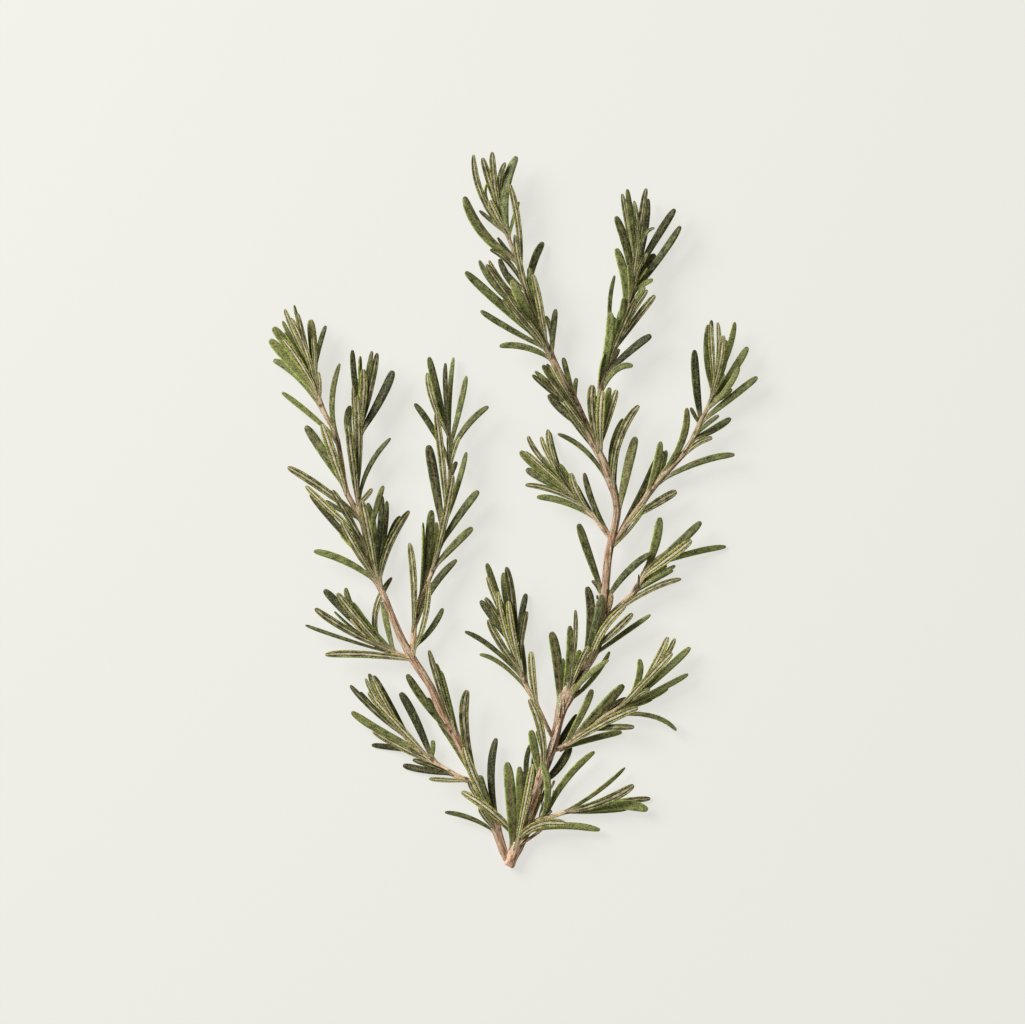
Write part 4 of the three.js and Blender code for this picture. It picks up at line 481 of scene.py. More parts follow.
def leaf_curve(rows, leaf, order):
    """Foot, control point, tip, roll and stem direction of one leaf, in millimetres."""
    foot_x, foot_y, middle_x, middle_y, tip_x, tip_y, _, code, *lift = leaf
    sideways, upwards, middle_rise, tip_rise, roll = POSES[code[0]]
    lift = lift[0] if lift else 0.0
    foot, radius, tangent = nearest_on_stem(rows, foot_x, foot_y)
    side, up = side_and_up(tangent)
    lean = foot_side(leaf, foot, radius, side)
    start = foot + side * (lean * sideways * radius) + up * (upwards * (radius + BARK_GAP))
    spread = between(*RISE_SPREAD, order)
    middle_z = max(start.z + middle_rise * spread + lift, LOWEST_LEAF)
    tip_z = max(start.z + tip_rise * spread + lift, LOWEST_LEAF)
    tip = Vector((tip_x, tip_y, tip_z))
    control = Vector((middle_x, middle_y, middle_z)) * 2 - (start + tip) / 2
    roll = UNDERSIDE_ROLL if "u" in code else roll
    roll = UPPER_SIDE_ROLL if "a" in code else roll
    return start, control, tip, lean * roll, tangent


# %% A dry strand's curve
STRAND_ROLL = 0.3
STRAND_RISE = (0.15, 0.45)  # millimetres from the bark to a strand's foot
STRAND_LIFT = 0.2  # millimetres that its tip is higher than its foot


def on_bark(rows, x, y, rise):
    """The place over (x, y) on the upper half of a stem's bark, raised a little."""
    middle, radius, tangent = nearest_on_stem(rows, x, y)
    side, up = side_and_up(tangent)
    offset = side.to_2d().dot(Vector((x, y)) - middle.to_2d())
    height = math.sqrt(max(0.0, radius**2 - offset**2))
    return middle + side * offset + up * (height + rise)


def strand_curve(rows, strand, order):
    """The same as for a leaf, for a dry strand that follows the bark and lifts to its tip."""
    x, y, tip_x, tip_y, *_ = strand
    rise = between(*STRAND_RISE, order)
    start, tip = on_bark(rows, x, y, rise), on_bark(rows, tip_x, tip_y, rise + STRAND_LIFT)
    middle = on_bark(rows, (x + tip_x) / 2, (y + tip_y) / 2, rise + STRAND_LIFT / 2)
    return start, middle * 2 - (start + tip) / 2, tip, STRAND_ROLL, (tip - start).normalized()


# %% [markdown]
# ## One leaf, made once
#
# A leaf is a long tube with a special outline: nearly flat on top with a groove down the
# middle, rolled over at both margins, and hollowed beneath on either side of the rib. It
# starts as a circle of ten points, which is extruded along Y in a few steps, and each ring
# is then pushed into that outline. A pattern map runs round the leaf (u) and along it (v),
# so that the shader can tell the upper side from the rib. Ten sides and a few rings are
# enough, because subdivision rounds them. The first two rings are the leaf's base, a pale
# strand that runs down the stem below the foot and clasps it.

# %% The leaf's outline and rings
OUTLINE = [
    (0.0, 0.26), (0.66, 0.56), (1.0, -0.04), (0.80, -0.56), (0.44, -0.10),
    (0.0, -0.50), (-0.44, -0.10), (-0.80, -0.56), (-1.0, -0.04), (-0.66, 0.56),
]
LEAF_SIDES = len(OUTLINE)
FOOT_SHARE = 0.1  # how much of a whole leaf is the base below its foot
LEAF_RINGS = [
    # share of the length, width and thickness there as shares of the largest
    (0.0, 0.22, 0.4), (FOOT_SHARE, 0.46, 0.75), (0.21, 0.74, 0.9), (0.42, 0.97, 1.0),
    (0.68, 1.08, 1.0), (0.86, 1.0, 0.95), (0.958, 0.74, 0.8), (1.0, 0.36, 0.5),
]
TURN_UPRIGHT = Matrix.Rotation(math.pi / 2, 3, "X")


# %% Extruding a tube
def pick(kind, geometry):
    """The vertices or the edges among what an operator made."""
    return [g for g in geometry if isinstance(g, kind)]


def next_ring(bm, edges):
    """The vertices and edges of a new ring, extruded from the last ring's edges."""
    made = bmesh.ops.extrude_edge_only(bm, edges=edges)["geom"]
    verts = pick(bmesh.types.BMVert, made)
    return verts, [e for e in pick(bmesh.types.BMEdge, made) if all(v in verts for v in e.verts)]


# %% The straight leaf
def around_number(vertex):
    """Which point of the outline a vertex is, counted clockwise from the top."""
    turn = math.atan2(vertex.co.x, vertex.co.z) / (2 * math.pi)
    return round(turn * LEAF_SIDES) % LEAF_SIDES


def leaf_blank(bm):
    """One straight leaf of unit size in the bmesh: its geometry."""
    uv = bm.loops.layers.uv.new("leaf_map")
    circle = bmesh.ops.create_circle(bm, cap_ends=True, segments=LEAF_SIDES, radius=1)
    bmesh.ops.rotate(bm, verts=circle["verts"], cent=(0, 0, 0), matrix=TURN_UPRIGHT)
    ring = {v: 0 for v in circle["verts"]}
    edges = list(bm.edges)
    for number in range(1, len(LEAF_RINGS)):
        verts, edges = next_ring(bm, edges)
        bmesh.ops.translate(bm, verts=verts, vec=(0, 1, 0))
        ring.update({v: number for v in verts})
    bmesh.ops.holes_fill(bm, edges=edges, sides=0)
    place = {v: around_number(v) for v in bm.verts}
    for face in bm.faces:
        corners = [place[v] for v in face.verts]
        wraps = max(corners) - min(corners) > LEAF_SIDES / 2
        for loop in face.loops:
            u = place[loop.vert]
            u = LEAF_SIDES if wraps and u == 0 else u
            loop[uv].uv = (u / LEAF_SIDES, LEAF_RINGS[ring[loop.vert]][0])
    for v in bm.verts:
        share, width, thickness = LEAF_RINGS[ring[v]]
        across, over = OUTLINE[place[v]]
        v.co = Vector((across * width, share, over * thickness))
    bmesh.ops.recalc_face_normals(bm, faces=bm.faces)
    return list(bm.verts) + list(bm.edges) + list(bm.faces)


# %% [markdown]
# ## The colour that travels with each leaf
#
# Four numbers travel with each leaf for its colour: how light it is, partly painted light
# and shade, how brown its middle line is, how dry its tip is, and one number of its own,
# which moves its veins. A tint travels too, for what is withered, grey or pale, the pale one
# painted light: a colour and how much of it there is.

# %% Tone and tint
LIGHTNESS = (0.225, 0.775)  # of the darkest and the lightest leaf without D, d or l
BROWNNESS = (0.1, 0.45)  # of the middle line; the letter b makes it 0.9
DRYNESS = (0.0, 0.25)  # of the tip; the letter x makes it 1
# Painted shade and light: BENEATH darkens D leaves as shade under the others, the letters d and l
# are partly painted shade and light, and the tint of p is painted light.
BENEATH = 0.42  # how much darker a D leaf is, in the shade of the others
DARKER = LIGHTER = 0.38  # what the letters d and l do
LEAF_TINTS = [("w", "#b59c74", 0.85), ("g", "#8a9168", 0.4), ("p", "#b3bf72", 0.35)]
STRAND_COVER = 0.9  # how much of a dry strand's colour is its tint


def leaf_tone(code, order):
    """Lightness, brown middle line, dry tip and a number of the leaf's own."""
    own = between(0.0, 1.0, order, start=0.31)
    light = between(*LIGHTNESS, order, start=0.31)
    light -= BENEATH if code[0] == "D" and "n" not in code else 0.0
    light -= DARKER if "d" in code else 0.0
    light += LIGHTER if "l" in code else 0.0
    middle = 0.9 if "b" in code else between(*BROWNNESS, order, step=0.381)
    dry = 1.0 if "x" in code else between(*DRYNESS, order, step=0.531)
    return min(1.0, max(0.0, light)), middle, dry, own


def leaf_tint(code):
    """A colour and how much of it covers the green: withered, grey-green, pale or none."""
    for letter, hex_colour, cover in LEAF_TINTS:
        if letter in code:
            return (*paint(hex_colour)[:3], cover)
    return (0.0, 0.0, 0.0, 0.0)


# %% [markdown]
# ## Bending a leaf to its place
#
# Each leaf of a tuft is a copy of the straight one, bent along its own curve: a point at a
# share of the length goes to that place on the curve, then sideways and upwards by its own
# distances. A leaf also twists a little, some one way and some the other.

# %% Bending
ROUNDING_LOSS = 1.14  # subdivision draws the outline in, so it starts wider
FULL_LEAF = 25.0  # millimetres from foot to tip of a full-grown leaf
BASE_RUN = 3.6  # millimetres of leaf base below the foot of a full-grown leaf
THICKNESS = 0.68  # millimetres, of a leaf 1 mm wide
THICKENING = 0.6  # the power of the width that thickness grows with
TWIST = 0.25  # radians from foot to tip, at most
TWIST_STEP = 2.4  # radians, so that neighbours twist differently


def on_curve(start, control, tip, share):
    """The point at a share of a leaf's curve, and the direction there."""
    point = start.lerp(control, share).lerp(control.lerp(tip, share), share)
    return point, (control - start).lerp(tip - control, share).normalized()


def on_leaf(curve, base, share):
    """The point and direction at a share of a whole leaf, whose base runs down the stem."""
    if share >= FOOT_SHARE:
        return on_curve(*curve, (share - FOOT_SHARE) / (1 - FOOT_SHARE))
    return curve[0] + base * (1 - share / FOOT_SHARE), -base.normalized()


def bend_leaf(verts, curve, width, order, looks):
    """Puts one copy of the blank on its curve. `looks` holds a value for each layer."""
    start, control, tip, roll, along = curve
    half = width / 2 * ROUNDING_LOSS
    thickness = THICKNESS * width**THICKENING
    base = along * (-BASE_RUN * min(1.0, (tip - start).length / FULL_LEAF))
    for v in verts:
        across, share, over = v.co
        point, tangent = on_leaf((start, control, tip), base, share)
        side, up = side_and_up(tangent)
        turn = roll + TWIST * math.sin(order * TWIST_STEP) * (share - 0.5)
        sideways = side * math.cos(turn) + up * math.sin(turn)
        upwards = up * math.cos(turn) - side * math.sin(turn)
        v.co = (point + sideways * (across * half) + upwards * (over * thickness)) * MM
        for layer, value in looks.items():
            v[layer] = value


# %% [markdown]
# ## From a bmesh to a finished piece
#
# Every piece is smooth shaded. The plant's pieces get a round of subdivision, the same in
# the view as in the render. Their objects stay at the origin: the place is in the mesh.

# %% Finishing a piece
def finished_piece(name, bm, rounds):
    """A smooth object from a bmesh, with live subdivision if it has any rounds of it."""
    mesh = bpy.data.meshes.new(name)
    for face in bm.faces:
        face.smooth = True
    bm.to_mesh(mesh)
    bm.free()
    piece = bpy.data.objects.new(name, mesh)
    bpy.context.scene.collection.objects.link(piece)
    if rounds:
        soften = piece.modifiers.new("round_off", "SUBSURF")
        soften.levels = soften.render_levels = rounds
    return piece


# %% One tuft
def tuft(name, rows, leaves, strands):
    """All the leaves and dry strands of one group as a mesh object."""
    bm = bmesh.new()
    for layer in ("leaf_tone", "leaf_tint"):
        bm.verts.layers.float_color.new(layer)
    bm.verts.layers.float.new("leaf_length")
    blank = leaf_blank(bm)
    colours, lengths = bm.verts.layers.float_color, bm.verts.layers.float
    for order, row in enumerate([*leaves, *strands]):
        copy = bmesh.ops.duplicate(bm, geom=blank)["geom"]
        if order < len(leaves):
            curve, width, code = leaf_curve(rows, row, order), row[6], row[7]
            tint = leaf_tint(code)
        else:
            curve, width, code = strand_curve(rows, row, order), row[4], "S"
            tint = (*paint(TINTS[row[5]])[:3], STRAND_COVER)
        looks = {colours["leaf_tone"]: leaf_tone(code, order), colours["leaf_tint"]: tint}
        looks[lengths["leaf_length"]] = (curve[2] - curve[0]).length
        bend_leaf(pick(bmesh.types.BMVert, copy), curve, width, order, looks)
    bmesh.ops.delete(bm, geom=pick(bmesh.types.BMVert, blank), context="VERTS")
    return finished_piece(name, bm, 1)


# %% [markdown]
# ## Stems with bark
#
# A stem is a ring of points extruded along its route, ring by ring. The route is first
# smoothed through the listed points. Each ring is then uneven: the bark has long ridges,
# the stem swells where leaves grow out, and a scar there is darker. How woody the stem is
# and how light travel with each point: a shoot is bark-brown at its foot, green at its tip.
# How light is painted light and shade over the bark's own colour: it lifts stretches that
# lie in the shade of leaves and darkens others.

# %% Smooth routes
RING_STEP = 1.1  # millimetres between rings
CUT_STEP = 0.15  # share of a step between the first two, for a sharp edge at the cut
STEM_SIDES = 18


def spline(a, b, c, d, share):
    """A smooth curve through b and c, led by its neighbours a and d."""
    return 0.5 * (
        2 * b + (c - a) * share
        + (2 * a - 5 * b + 4 * c - d) * share**2
        + (3 * b - a - 3 * c + d) * share**3
    )


def smooth_route(rows):
    """Points (x, y, z, radius) a step apart along a stem, closer together at the cut."""
    points = [Vector(row) for row in rows]
    points = [2 * points[0] - points[1], *points, 2 * points[-1] - points[-2]]
    route = []
    for a, b, c, d in zip(points, points[1:], points[2:], points[3:]):
        steps = max(1, round((c.xyz - b.xyz).length / RING_STEP))
        route += [spline(a, b, c, d, step / steps) for step in range(steps)]
    return [route[0], route[0].lerp(route[1], CUT_STEP), *route[1:], points[-2]]


# %% Where leaves stand on a stem
def stem_feet(stem):
    """The feet of the leaves on a stem, in millimetres, and their angles round it."""
    rows = STEMS[stem]
    feet = []
    for (_, carrier), leaves in LEAVES.items():
        if carrier != stem:
            continue
        for leaf in leaves:
            foot, radius, tangent = nearest_on_stem(rows, leaf[0], leaf[1])
            side, _ = side_and_up(tangent)
            sideways, upwards = POSES[leaf[7][0]][:2]
            lean = foot_side(leaf, foot, radius, side)
            feet.append((foot, math.atan2(upwards, lean * sideways)))
    return feet


# %% Ridges and lumps
RIDGES, LUMPS = (0.06, 0.28), (0.03, 0.12)  # shares of the radius, on green and on old wood
RIDGES_PER_MM, LUMPS_PER_MM = 0.06, 0.22  # so ridges are about 17 mm long, lumps 4.5 mm
RIDGES_ROUND = 2.8  # ridges are narrow: their noise changes this much faster round the stem


def blend(ends, share):
    """The value at a share of the way from the first of two ends to the second."""
    return ends[0] + (ends[1] - ends[0]) * share


def bark_height(angle, along, woody, seed):
    """How far the bark stands out from the plain radius, as a share of it."""
    around = Vector((math.cos(angle), math.sin(angle)))
    ridges = noise.noise(Vector((*(around * RIDGES_ROUND), along * RIDGES_PER_MM + seed)))
    lumps = noise.noise(Vector((*around, along * LUMPS_PER_MM + seed)))
    return blend(RIDGES, woody) * ridges + blend(LUMPS, woody) * lumps


# %% Leaf bases on the bark
BASE_DOWN, BASE_UP = 5.5, 0.8  # millimetres that a base runs down and up from the foot
BASE_ANGLE = 0.75  # radians from its middle to its edge
NODE_REACH = 1.6  # millimetres from the middle of the swelling at a foot to its end
BASE_HEIGHT, NODE_HEIGHT = 0.26, 0.08  # of a base and of a swelling, as shares of the radius


def leaf_base(middle, tangent, angle, feet):
    """How much of a leaf's base (0 to 1) and of a node (0 to 1) is at this place."""
    base, node = 0.0, 0.0
    for foot, foot_angle in feet:
        ahead = (foot - middle).dot(tangent)
        if abs(ahead) > BASE_DOWN:
            continue
        apart = abs((angle - foot_angle + math.pi) % (2 * math.pi) - math.pi)
        if ahead >= -BASE_UP:
            down = 1 - max(0.0, ahead) / BASE_DOWN
            base = max(base, down * max(0.0, 1 - apart / BASE_ANGLE))
        node = max(node, 1 - abs(ahead) / NODE_REACH)
    return base, max(0.0, node)


# %% A plain tube along a route
MAP_STEP = 0.1  # the bark map's v runs along the stem in centimetres


def tube(bm, route):
    """A closed tube with its map: each vertex's ring and angle, and each ring's distance."""
    uv = bm.loops.layers.uv["bark_map"]
    bmesh.ops.create_circle(bm, segments=STEM_SIDES, radius=1)
    edges = list(bm.edges)
    place = {v: (0, math.atan2(v.co.y, v.co.x)) for v in bm.verts}
    for number in range(1, len(route)):
        verts, edges = next_ring(bm, edges)
        place.update({v: (number, math.atan2(v.co.y, v.co.x)) for v in verts})
    bmesh.ops.holes_fill(bm, edges=[e for e in bm.edges if e.is_boundary], sides=0)
    distances = [0.0]
    for low, high in zip(route, route[1:]):
        distances.append(distances[-1] + (high.xyz - low.xyz).length)
    for face in bm.faces:
        turns = [place[v][1] / (2 * math.pi) + 0.5 for v in face.verts]
        wraps = max(turns) - min(turns) > 0.5
        for loop in face.loops:
            number, angle = place[loop.vert]
            turn = angle / (2 * math.pi) + 0.5
            turn = turn + 1 if wraps and turn < 0.5 else turn
            loop[uv].uv = (turn, distances[number] * MAP_STEP)
    return place, distances


# %% One stem
RAGGED = 0.9  # millimetres that fibres stand out of the cut end
FIBRES = 2.5  # how finely the cut end is torn
SCAR_NOISE = 700  # turns of the scars' noise in a metre, so about 1.4 mm each
SCAR_SHARE = 0.25  # raises the noise, so that more than half of a node is scarred


def stem_piece(name, rows, feet, looks, seed):
    """One stem with its bark as a mesh object. `looks` is a row of STEM_LOOKS."""
    route = smooth_route(rows)
    bm = bmesh.new()
    bm.loops.layers.uv.new("bark_map")
    age_and_light_layer = bm.verts.layers.float_color.new("bark_age")
    place, distances = tube(bm, route)
    for v, (number, angle) in place.items():
        before, after = route[max(number - 1, 0)], route[min(number + 1, len(route) - 1)]
        tangent = (after.xyz - before.xyz).normalized()
        side, up = side_and_up(tangent)
        share = distances[number] / distances[-1]
        woody, light = blend(looks[:2], share), blend(looks[2:], share**0.5)
        middle, radius = route[number].xyz, route[number].w
        base, node = leaf_base(middle, tangent, angle, feet)
        outward = side * math.cos(angle) + up * math.sin(angle)
        height = bark_height(angle, distances[number], woody, seed)
        height += BASE_HEIGHT * base + NODE_HEIGHT * node
        v.co = (middle + outward * radius * (1 + height)) * MM
        if number < 2:
            torn = noise.noise(outward * FIBRES + Vector((0, 0, seed)))
            v.co += tangent * (torn * RAGGED * MM)
        scar = node * (1 - base) * max(0.0, noise.noise(v.co * SCAR_NOISE) + SCAR_SHARE)
        # The fourth number is painted light and shade, a factor on the bark's colour.
        v[age_and_light_layer] = (woody, scar, base, light)
    bmesh.ops.recalc_face_normals(bm, faces=bm.faces)
    return finished_piece(name, bm, 1)


# %% [markdown]
# ## The leaf's surface
#
# A rosemary leaf is leathery. Above it has a waxy skin, dark olive green and finely
# wrinkled, so it is satin rather than glossy. Beneath, the rolled margins are smooth and
# yellower, the rib between them is covered in pale felt, and the two furrows beside the rib
# are dotted with glands. The pattern map's u says how far round the leaf a point
# is. Folded at the rib it gives 0 on the rib, 0.6 at the margin and 1 on the groove above.
# Two ramps over that hold the colours of a dark leaf and of a light one. The bright band at
# the margins is partly painted highlight. The near-black furrows are partly painted shade
# of the hollow under the rolled margin. Real furrows are thinner: they are drawn about a
# third of a millimetre wide, so that they show.

# %% Leaf colours
# At 0.13 and 0.20 the furrows are near black: partly their glands, partly painted shade of the
# hollow under the margin. The band at 0.60 is partly painted highlight.
DARK_LEAF = [
    (0.0, "#74684e"), (0.05, "#84785c"), (0.10, "#6e6446"), (0.13, "#0c0d06"), (0.20, "#1c1e0f"),
    (0.245, "#5e5f38"), (0.34, "#464d23"), (0.50, "#525a2a"), (0.60, "#767e38"), (0.67, "#5c662c"),
    (0.74, "#2e3819"), (0.92, "#262f13"), (1.0, "#322f18"),
]
LIGHT_LEAF = [
    (0.0, "#dccca6"), (0.05, "#f4e6c6"), (0.10, "#dccaa4"), (0.13, "#34321a"), (0.20, "#6c6836"),
    (0.245, "#ccc68a"), (0.34, "#c0c668"), (0.50, "#c4cc6c"), (0.60, "#dcdc80"), (0.67, "#bec86a"),
    (0.74, "#929f5a"), (0.92, "#909c52"), (1.0, "#a49a6a"),
]


# %% An empty material
def empty_material(name):
    """A new material and its shader tree, with nothing in it."""
    material = bpy.data.materials.new(name)
    material.use_nodes = True
    material.node_tree.nodes.clear()
    return material, material.node_tree


# %% [markdown]
# The leaf's material is built in five steps. The first reads what each leaf carries: its
# map, its numbers and its length, which turns the map's v into millimetres.

# %% Leaf skin: what it reads
leaf_surface, tree = empty_material("rosemary_leaf_waxy_above_felted_beneath")
spot = add(tree, "TexCoord").outputs["Object"]
pattern_map = add(tree, "UVMap", uv_map="leaf_map")
uv = add(tree, "SeparateXYZ", {"Vector": pattern_map}).outputs
tone = add(tree, "Attribute", attribute_name="leaf_tone")
looks = add(tree, "SeparateColor", {"Color": tone.outputs["Color"]}).outputs
length = add(tree, "Attribute", attribute_name="leaf_length").outputs["Fac"]
along = add(tree, "Math", {0: uv["Y"], 1: length}, operation="MULTIPLY")

# %% [markdown]
# The stripes come next. Grain a little over half a millimetre wide frays their edges, as
# felt and wrinkles do.

# %% Leaf skin: stripes along the leaf
GRAIN = 0.55 * MM

grain = add(tree, "TexNoise", {"Vector": spot, "Scale": 1 / GRAIN, "Detail": 1.0})
fray = add(tree, "MapRange", {"Value": grain, 1: 0.3, 2: 0.7, 3: -0.035, 4: 0.035})
centred = add(tree, "Math", {0: uv["X"], 1: 0.5}, operation="SUBTRACT")
folded = add(tree, "Math", {0: centred}, operation="ABSOLUTE")
around = add(tree, "Math", {0: folded, 1: 2.0, 2: fray}, operation="MULTIPLY_ADD")
dark = add(tree, "ValToRGB", {"Fac": around}, stops=DARK_LEAF)
light = add(tree, "ValToRGB", {"Fac": around}, stops=LIGHT_LEAF)

# %% [markdown]
# No leaf is one even green. Fine veins run along it and wide soft blotches cross them, so
# each place on it lies somewhere between the dark leaf and the light one.

# %% Leaf skin: veins and blotches
VEINS_ROUND, VEINS_PER_MM = 10.0, 0.4  # a tenth of the way round, and 2.5 mm long
OWN_STEP = 40.0  # moves each leaf's veins to another place in the noise
BLOTCH = 3.3 * MM

vein_u = add(tree, "Math", {0: uv["X"], 1: VEINS_ROUND}, operation="MULTIPLY")
vein_v = add(tree, "Math", {0: along, 1: VEINS_PER_MM}, operation="MULTIPLY")
own = add(tree, "Math", {0: tone.outputs["Alpha"], 1: OWN_STEP}, operation="MULTIPLY")
vein_spot = add(tree, "CombineXYZ", {"X": vein_u, "Y": vein_v, "Z": own})
veins = add(tree, "TexNoise", {"Vector": vein_spot, "Scale": 1.0, "Detail": 2.0})
blotches = add(tree, "TexNoise", {"Vector": spot, "Scale": 1 / BLOTCH, "Detail": 1.0})
uneven = add(tree, "MapRange", {"Value": veins, 1: 0.3, 2: 0.7, 3: -0.4, 4: 0.4})
patchy = add(tree, "MapRange", {"Value": blotches, 1: 0.3, 2: 0.7, 3: -0.15, 4: 0.15})
lighter = add(tree, "Math", {0: looks["Red"], 1: uneven}, operation="ADD")
lightness = add(tree, "Math", {0: lighter, 1: patchy}, operation="ADD", use_clamp=True)
colour = add(tree, "Mix", {"Factor": lightness, "A": dark, "B": light}, data_type="RGBA")

# %% [markdown]
# Then the small things that lie over the green. Grey-pink hairs and glands speckle the
# upper side, and real ones are finer: half a millimetre is as fine as shows. Dark glands
# stand in two rows along the rolled margins. The groove above is often brown, the tip dries
# first, and the base is pale. A withered leaf or a dry strand keeps its streaks but loses
# its green, and the same tint paints light on pale leaves and strands that lie in shade.
# Last, painted shade darkens the grain's hollows, though less on the felted rib.

# %% Leaf skin: masks for what lies over it
SPECK = 0.5 * MM
GLAND_STEP = 0.75  # millimetres from gland to gland

dots = add(tree, "TexNoise", {"Vector": spot, "Scale": 1 / SPECK, "Detail": 0.0})
specks = add(tree, "MapRange", {"Value": dots, 1: 0.54, 2: 0.60, 3: 0.0, 4: 0.42})
upper = add(tree, "MapRange", {"Value": around, 1: 0.72, 2: 0.80})
turns = add(tree, "Math", {0: along, 1: 2 * math.pi / GLAND_STEP}, operation="MULTIPLY")
row = add(tree, "Math", {0: turns}, operation="SINE")
glands = add(tree, "MapRange", {"Value": row, 1: -0.2, 2: 1.0, 4: 0.3})
inner = add(tree, "MapRange", {"Value": around, 1: 0.19, 2: 0.28})
outer = add(tree, "MapRange", {"Value": around, 1: 0.40, 2: 0.52, 3: 1.0, 4: 0.0})
margin = add(tree, "Math", {0: inner, 1: outer}, operation="MULTIPLY")
groove = add(tree, "MapRange", {"Value": around, 1: 0.92, 2: 0.98, 4: 0.85})
near_tip = add(tree, "MapRange", {"Value": uv["Y"], 1: 0.86, 2: 1.0})
near_base = add(tree, "MapRange", {"Value": uv["Y"], 1: 0.06, 2: 0.24, 3: 0.8, 4: 0.0})
tint = add(tree, "Attribute", attribute_name="leaf_tint").outputs
streak = add(tree, "MapRange", {"Value": veins, 1: 0.3, 2: 0.7, 3: 0.55, 4: 1.45})
# The tint with the veins' streaks: withered leaves and dry strands, and painted light for the pale
# p leaves and the pink strands.
dry = add(tree, "HueSaturation", {"Color": tint["Color"], "Value": streak})
# Painted shade: the grain's hollows are darkened, less so on the felted rib.
painted_grain_shade = add(tree, "MapRange", {"Value": grain, 1: 0.40, 2: 0.50, 3: 0.6, 4: 0.0})
off_rib = add(tree, "MapRange", {"Value": around, 1: 0.11, 2: 0.15, 3: 0.4})

# %% [markdown]
# Each layer is laid over the ones before it, as strongly as its two masks say when they are
# multiplied. The grain lifts the skin a little too, and felt is rougher than waxy skin.

# %% Leaf skin: layers and surface
WRINKLE_DEPTH = 0.2 * MM

LEAF_LAYERS = [
    (specks, upper, "#8e8468"), (glands, margin, "#3c4420"), (groove, looks["Green"], "#94745a"),
    (near_tip, looks["Blue"], "#80603a"), (near_base, 1.0, "#b9ab86"), (tint["Alpha"], 1.0, dry),
    (painted_grain_shade, off_rib, "#1b1f0c"),
]
for mask, strength, cover in LEAF_LAYERS:
    share = add(tree, "Math", {0: mask, 1: strength}, operation="MULTIPLY")
    colour = add(tree, "Mix", {"Factor": share, "A": colour, "B": cover}, data_type="RGBA")
wrinkles = add(tree, "Bump", {"Height": grain, "Strength": 0.6, "Distance": WRINKLE_DEPTH})
felt = add(tree, "MapRange", {"Value": around, 1: 0.18, 2: 0.28, 3: 0.85, 4: 0.5})
skin = {"Base Color": colour, "Roughness": felt, "Specular IOR Level": 0.18, "Normal": wrinkles}
add(tree, "OutputMaterial", {"Surface": add(tree, "BsdfPrincipled", skin)})
print(leaf_surface.name, "has", len(tree.nodes), "nodes")


# %% [markdown]
# ## Bark
#
# Old rosemary wood has thin, dry bark that is grey-tan with pinkish patches and splits
# along its length. Young shoots are ridged, downy and paler. Streaks run along the stem, so
# their noise is read from the bark map, whose v runs along in centimetres, and is squeezed
# round the stem.

# %% Bark: streaks, old and young
OLD_BARK = [(0.33, "#3c281a"), (0.42, "#927256"), (0.50, "#c6a184"), (0.58, "#e0c6aa")]
YOUNG_BARK = [(0.33, "#54432a"), (0.42, "#a08862"), (0.51, "#d0ba90"), (0.60, "#eeddbc")]
STREAKS = (20.0, 1.3, 1.0)  # turns of the noise round the stem, and in a centimetre of it

bark, tree = empty_material("rosemary_bark_dry_split_lengthways")
spot = add(tree, "TexCoord").outputs["Object"]
pattern_map = add(tree, "UVMap", uv_map="bark_map")
strip = add(tree, "Mapping", {"Vector": pattern_map, "Scale": STREAKS})
links = {"Vector": strip, "Scale": 1.0, "Detail": 3.0, "Roughness": 0.6}
streaks = add(tree, "TexNoise", links)
age = add(tree, "Attribute", attribute_name="bark_age")
looks = add(tree, "SeparateColor", {"Color": age.outputs["Color"]}).outputs
old = add(tree, "ValToRGB", {"Fac": streaks}, stops=OLD_BARK)
young = add(tree, "ValToRGB", {"Fac": streaks}, stops=YOUNG_BARK)
woody = add(tree, "MapRange", {"Value": looks["Red"], 1: 0.15, 2: 0.75})
colour = add(tree, "Mix", {"Factor": woody, "A": young, "B": old}, data_type="RGBA")

# %% [markdown]
# Old wood has rosy patches 6 mm long. A leaf's base runs down the stem as a pale ridge,
# old scars are brown, and pits two thirds of a millimetre across hold dirt and shadow.

# %% Bark: layers and surface
PATCH, PIT = 6 * MM, 0.67 * MM
SPLIT_DEPTH = 0.4 * MM

patches = add(tree, "TexNoise", {"Vector": spot, "Scale": 1 / PATCH, "Detail": 2.0})
patchy = add(tree, "MapRange", {"Value": patches, 1: 0.42, 2: 0.62, 4: 0.4})
rosy = add(tree, "Math", {0: patchy, 1: woody}, operation="MULTIPLY")
ridge = add(tree, "MapRange", {"Value": looks["Blue"], 1: 0.1, 2: 0.7, 4: 0.55})
scars = add(tree, "MapRange", {"Value": looks["Green"], 1: 0.05, 2: 0.4, 4: 0.8})
holes = add(tree, "TexNoise", {"Vector": spot, "Scale": 1 / PIT, "Detail": 2.0})
pits = add(tree, "MapRange", {"Value": holes, 1: 0.34, 2: 0.5, 3: 0.4, 4: 0.0})
BARK_LAYERS = [(rosy, "#a87c60"), (ridge, "#cdbfa2"), (scars, "#3f281c"), (pits, "#3a2a1e")]
for share, cover in BARK_LAYERS:
    colour = add(tree, "Mix", {"Factor": share, "A": colour, "B": cover}, data_type="RGBA")
# Painted light and shade: the bark's colour is made lighter or darker by the factor that each point
# carries.
bark_with_painted_light = add(tree, "HueSaturation", {"Color": colour, "Value": age.outputs["Alpha"]})
splits = add(tree, "Bump", {"Height": streaks, "Strength": 0.9, "Distance": SPLIT_DEPTH})
skin = {"Base Color": bark_with_painted_light, "Roughness": 0.8, "Specular IOR Level": 0.15, "Normal": splits}
add(tree, "OutputMaterial", {"Surface": add(tree, "BsdfPrincipled", skin)})
print(bark.name, "has", len(tree.nodes), "nodes")


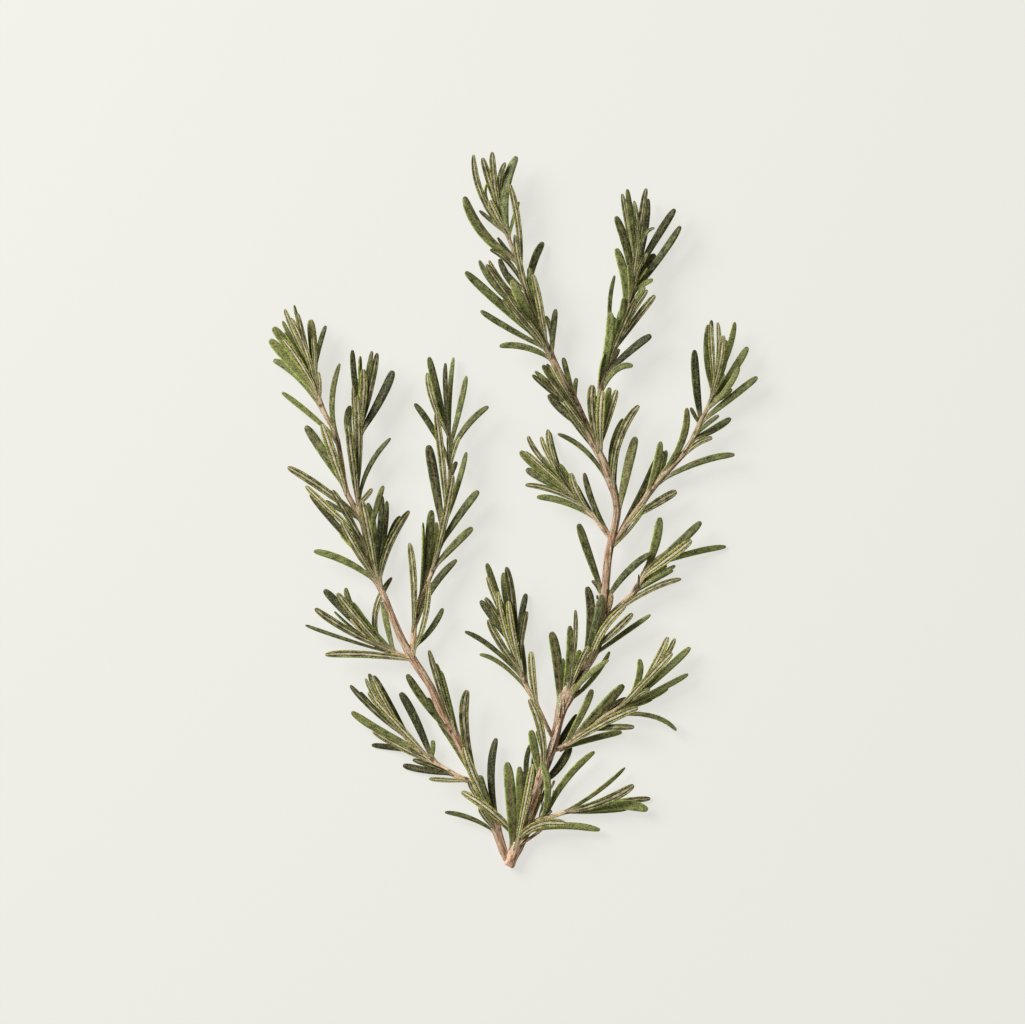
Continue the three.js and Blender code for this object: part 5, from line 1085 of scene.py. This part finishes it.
# %% [markdown]
# ## Making every piece
#
# Each detailed stem takes the place of its plain solid, and each tuft of leaves the place
# of its group. The branch is one rigid thing, so every piece rides on the one body.

# %% Stems
STEM_LOOKS = {
    # how woody at its foot and at its end, how light at its foot and at its end, the lightness
    # being painted light and shade
    "main_stem": (1.0, 0.25, 1.3, 0.72), "left_stem": (1.0, 0.2, 1.1, 0.95),
    "low_left_stem": (0.45, 0.0, 1.4, 1.4), "right_upper_stem": (0.45, 0.0, 0.87, 0.87),
    "base_right_stem": (0.45, 0.0, 1.4, 1.4), "right_mid_stem": (0.45, 0.0, 1.05, 1.05),
}
SHOOT_LOOKS = (0.45, 0.0, 1.18, 1.18)
SEED_STEP = 7.3  # far enough that no two stems have the same bark

for number, (name, rows) in enumerate(STEMS.items()):
    looks = STEM_LOOKS.get(name, SHOOT_LOOKS)
    stem = stem_piece(f"{name}_bark", rows, stem_feet(name), looks, number * SEED_STEP)
    stem.data.materials.append(bark)
    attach(stem, "root")
    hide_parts(name)
print("stems made:", len(STEMS))

# %% Leaves
for (name, carrier), leaves in LEAVES.items():
    leafy = tuft(f"{name}_tuft", STEMS[carrier], leaves, STRANDS.get(name, ()))
    leafy.data.materials.append(leaf_surface)
    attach(leafy, "root")
    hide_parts(name)
print("tufts made:", len(LEAVES))


# %% [markdown]
# ## Table, light and camera
#
# The branch lies on a plain pale table. A little light of the table's own keeps its
# shadows faint, as on a bright sheet of paper. One broad soft light comes from the upper
# left, and an even pale surrounding fills the rest. The camera looks straight down.

# %% Table
TABLE_SIDE = 6.0  # metres, so that its edges stay out of sight


def table_skin():
    """Matt warm-white laminate."""
    material = bpy.data.materials.new("table_matt_warm_white_laminate")
    material.use_nodes = True
    inputs = material.node_tree.nodes["Principled BSDF"].inputs
    inputs["Base Color"].default_value = paint("#6f6e68")
    inputs["Roughness"].default_value = 0.9
    inputs["Emission Color"].default_value = paint("#f0efe9")
    inputs["Emission Strength"].default_value = 0.78
    return material


bm = bmesh.new()
bmesh.ops.create_grid(bm, x_segments=1, y_segments=1, size=TABLE_SIDE / 2)
table = finished_piece("table_floor", bm, 0)
table.data.materials.append(table_skin())

# %% Light
WINDOW_PLACE = Vector((-1.1, 0.75, 1.15))  # metres: to the upper left of the branch
WINDOW_SIDE = 0.9  # wide, so that shadows have soft edges
WINDOW_POWER = 40.0  # watts

world = bpy.data.worlds.new("soft_room")
world.use_nodes = True
room = world.node_tree.nodes["Background"].inputs
room["Color"].default_value = (1.0, 0.98, 0.93, 1.0)
room["Strength"].default_value = 0.17
bpy.context.scene.world = world

lamp = bpy.data.lights.new("window", "AREA")
lamp.size, lamp.energy = WINDOW_SIDE, WINDOW_POWER
window = bpy.data.objects.new("window", lamp)
window.location = WINDOW_PLACE
window.rotation_euler = (-WINDOW_PLACE).to_track_quat("-Z", "Y").to_euler()
bpy.context.scene.collection.objects.link(window)
print("window lamp of", WINDOW_POWER, "W at", tuple(round(x, 2) for x in WINDOW_PLACE), "m")

# %% Camera
CAMERA_HEIGHT = 3.425  # metres
CAMERA_SHIFT = -0.6 * MM  # along Y, so that the branch sits right in the frame
CAMERA_LENS, CAMERA_SENSOR = 300, 36  # millimetres: a long lens, so little perspective
NEAREST_SEEN = 0.01  # metres

camera_data = bpy.data.cameras.new("straight_down")
camera_data.lens = CAMERA_LENS
camera_data.sensor_width = CAMERA_SENSOR
camera_data.clip_start = NEAREST_SEEN
camera = bpy.data.objects.new("straight_down", camera_data)
camera.location = (0, CAMERA_SHIFT, CAMERA_HEIGHT)
bpy.context.scene.collection.objects.link(camera)
bpy.context.scene.camera = camera
bpy.context.scene.view_settings.view_transform = "Standard"
print("camera looks straight down from", CAMERA_HEIGHT, "m")
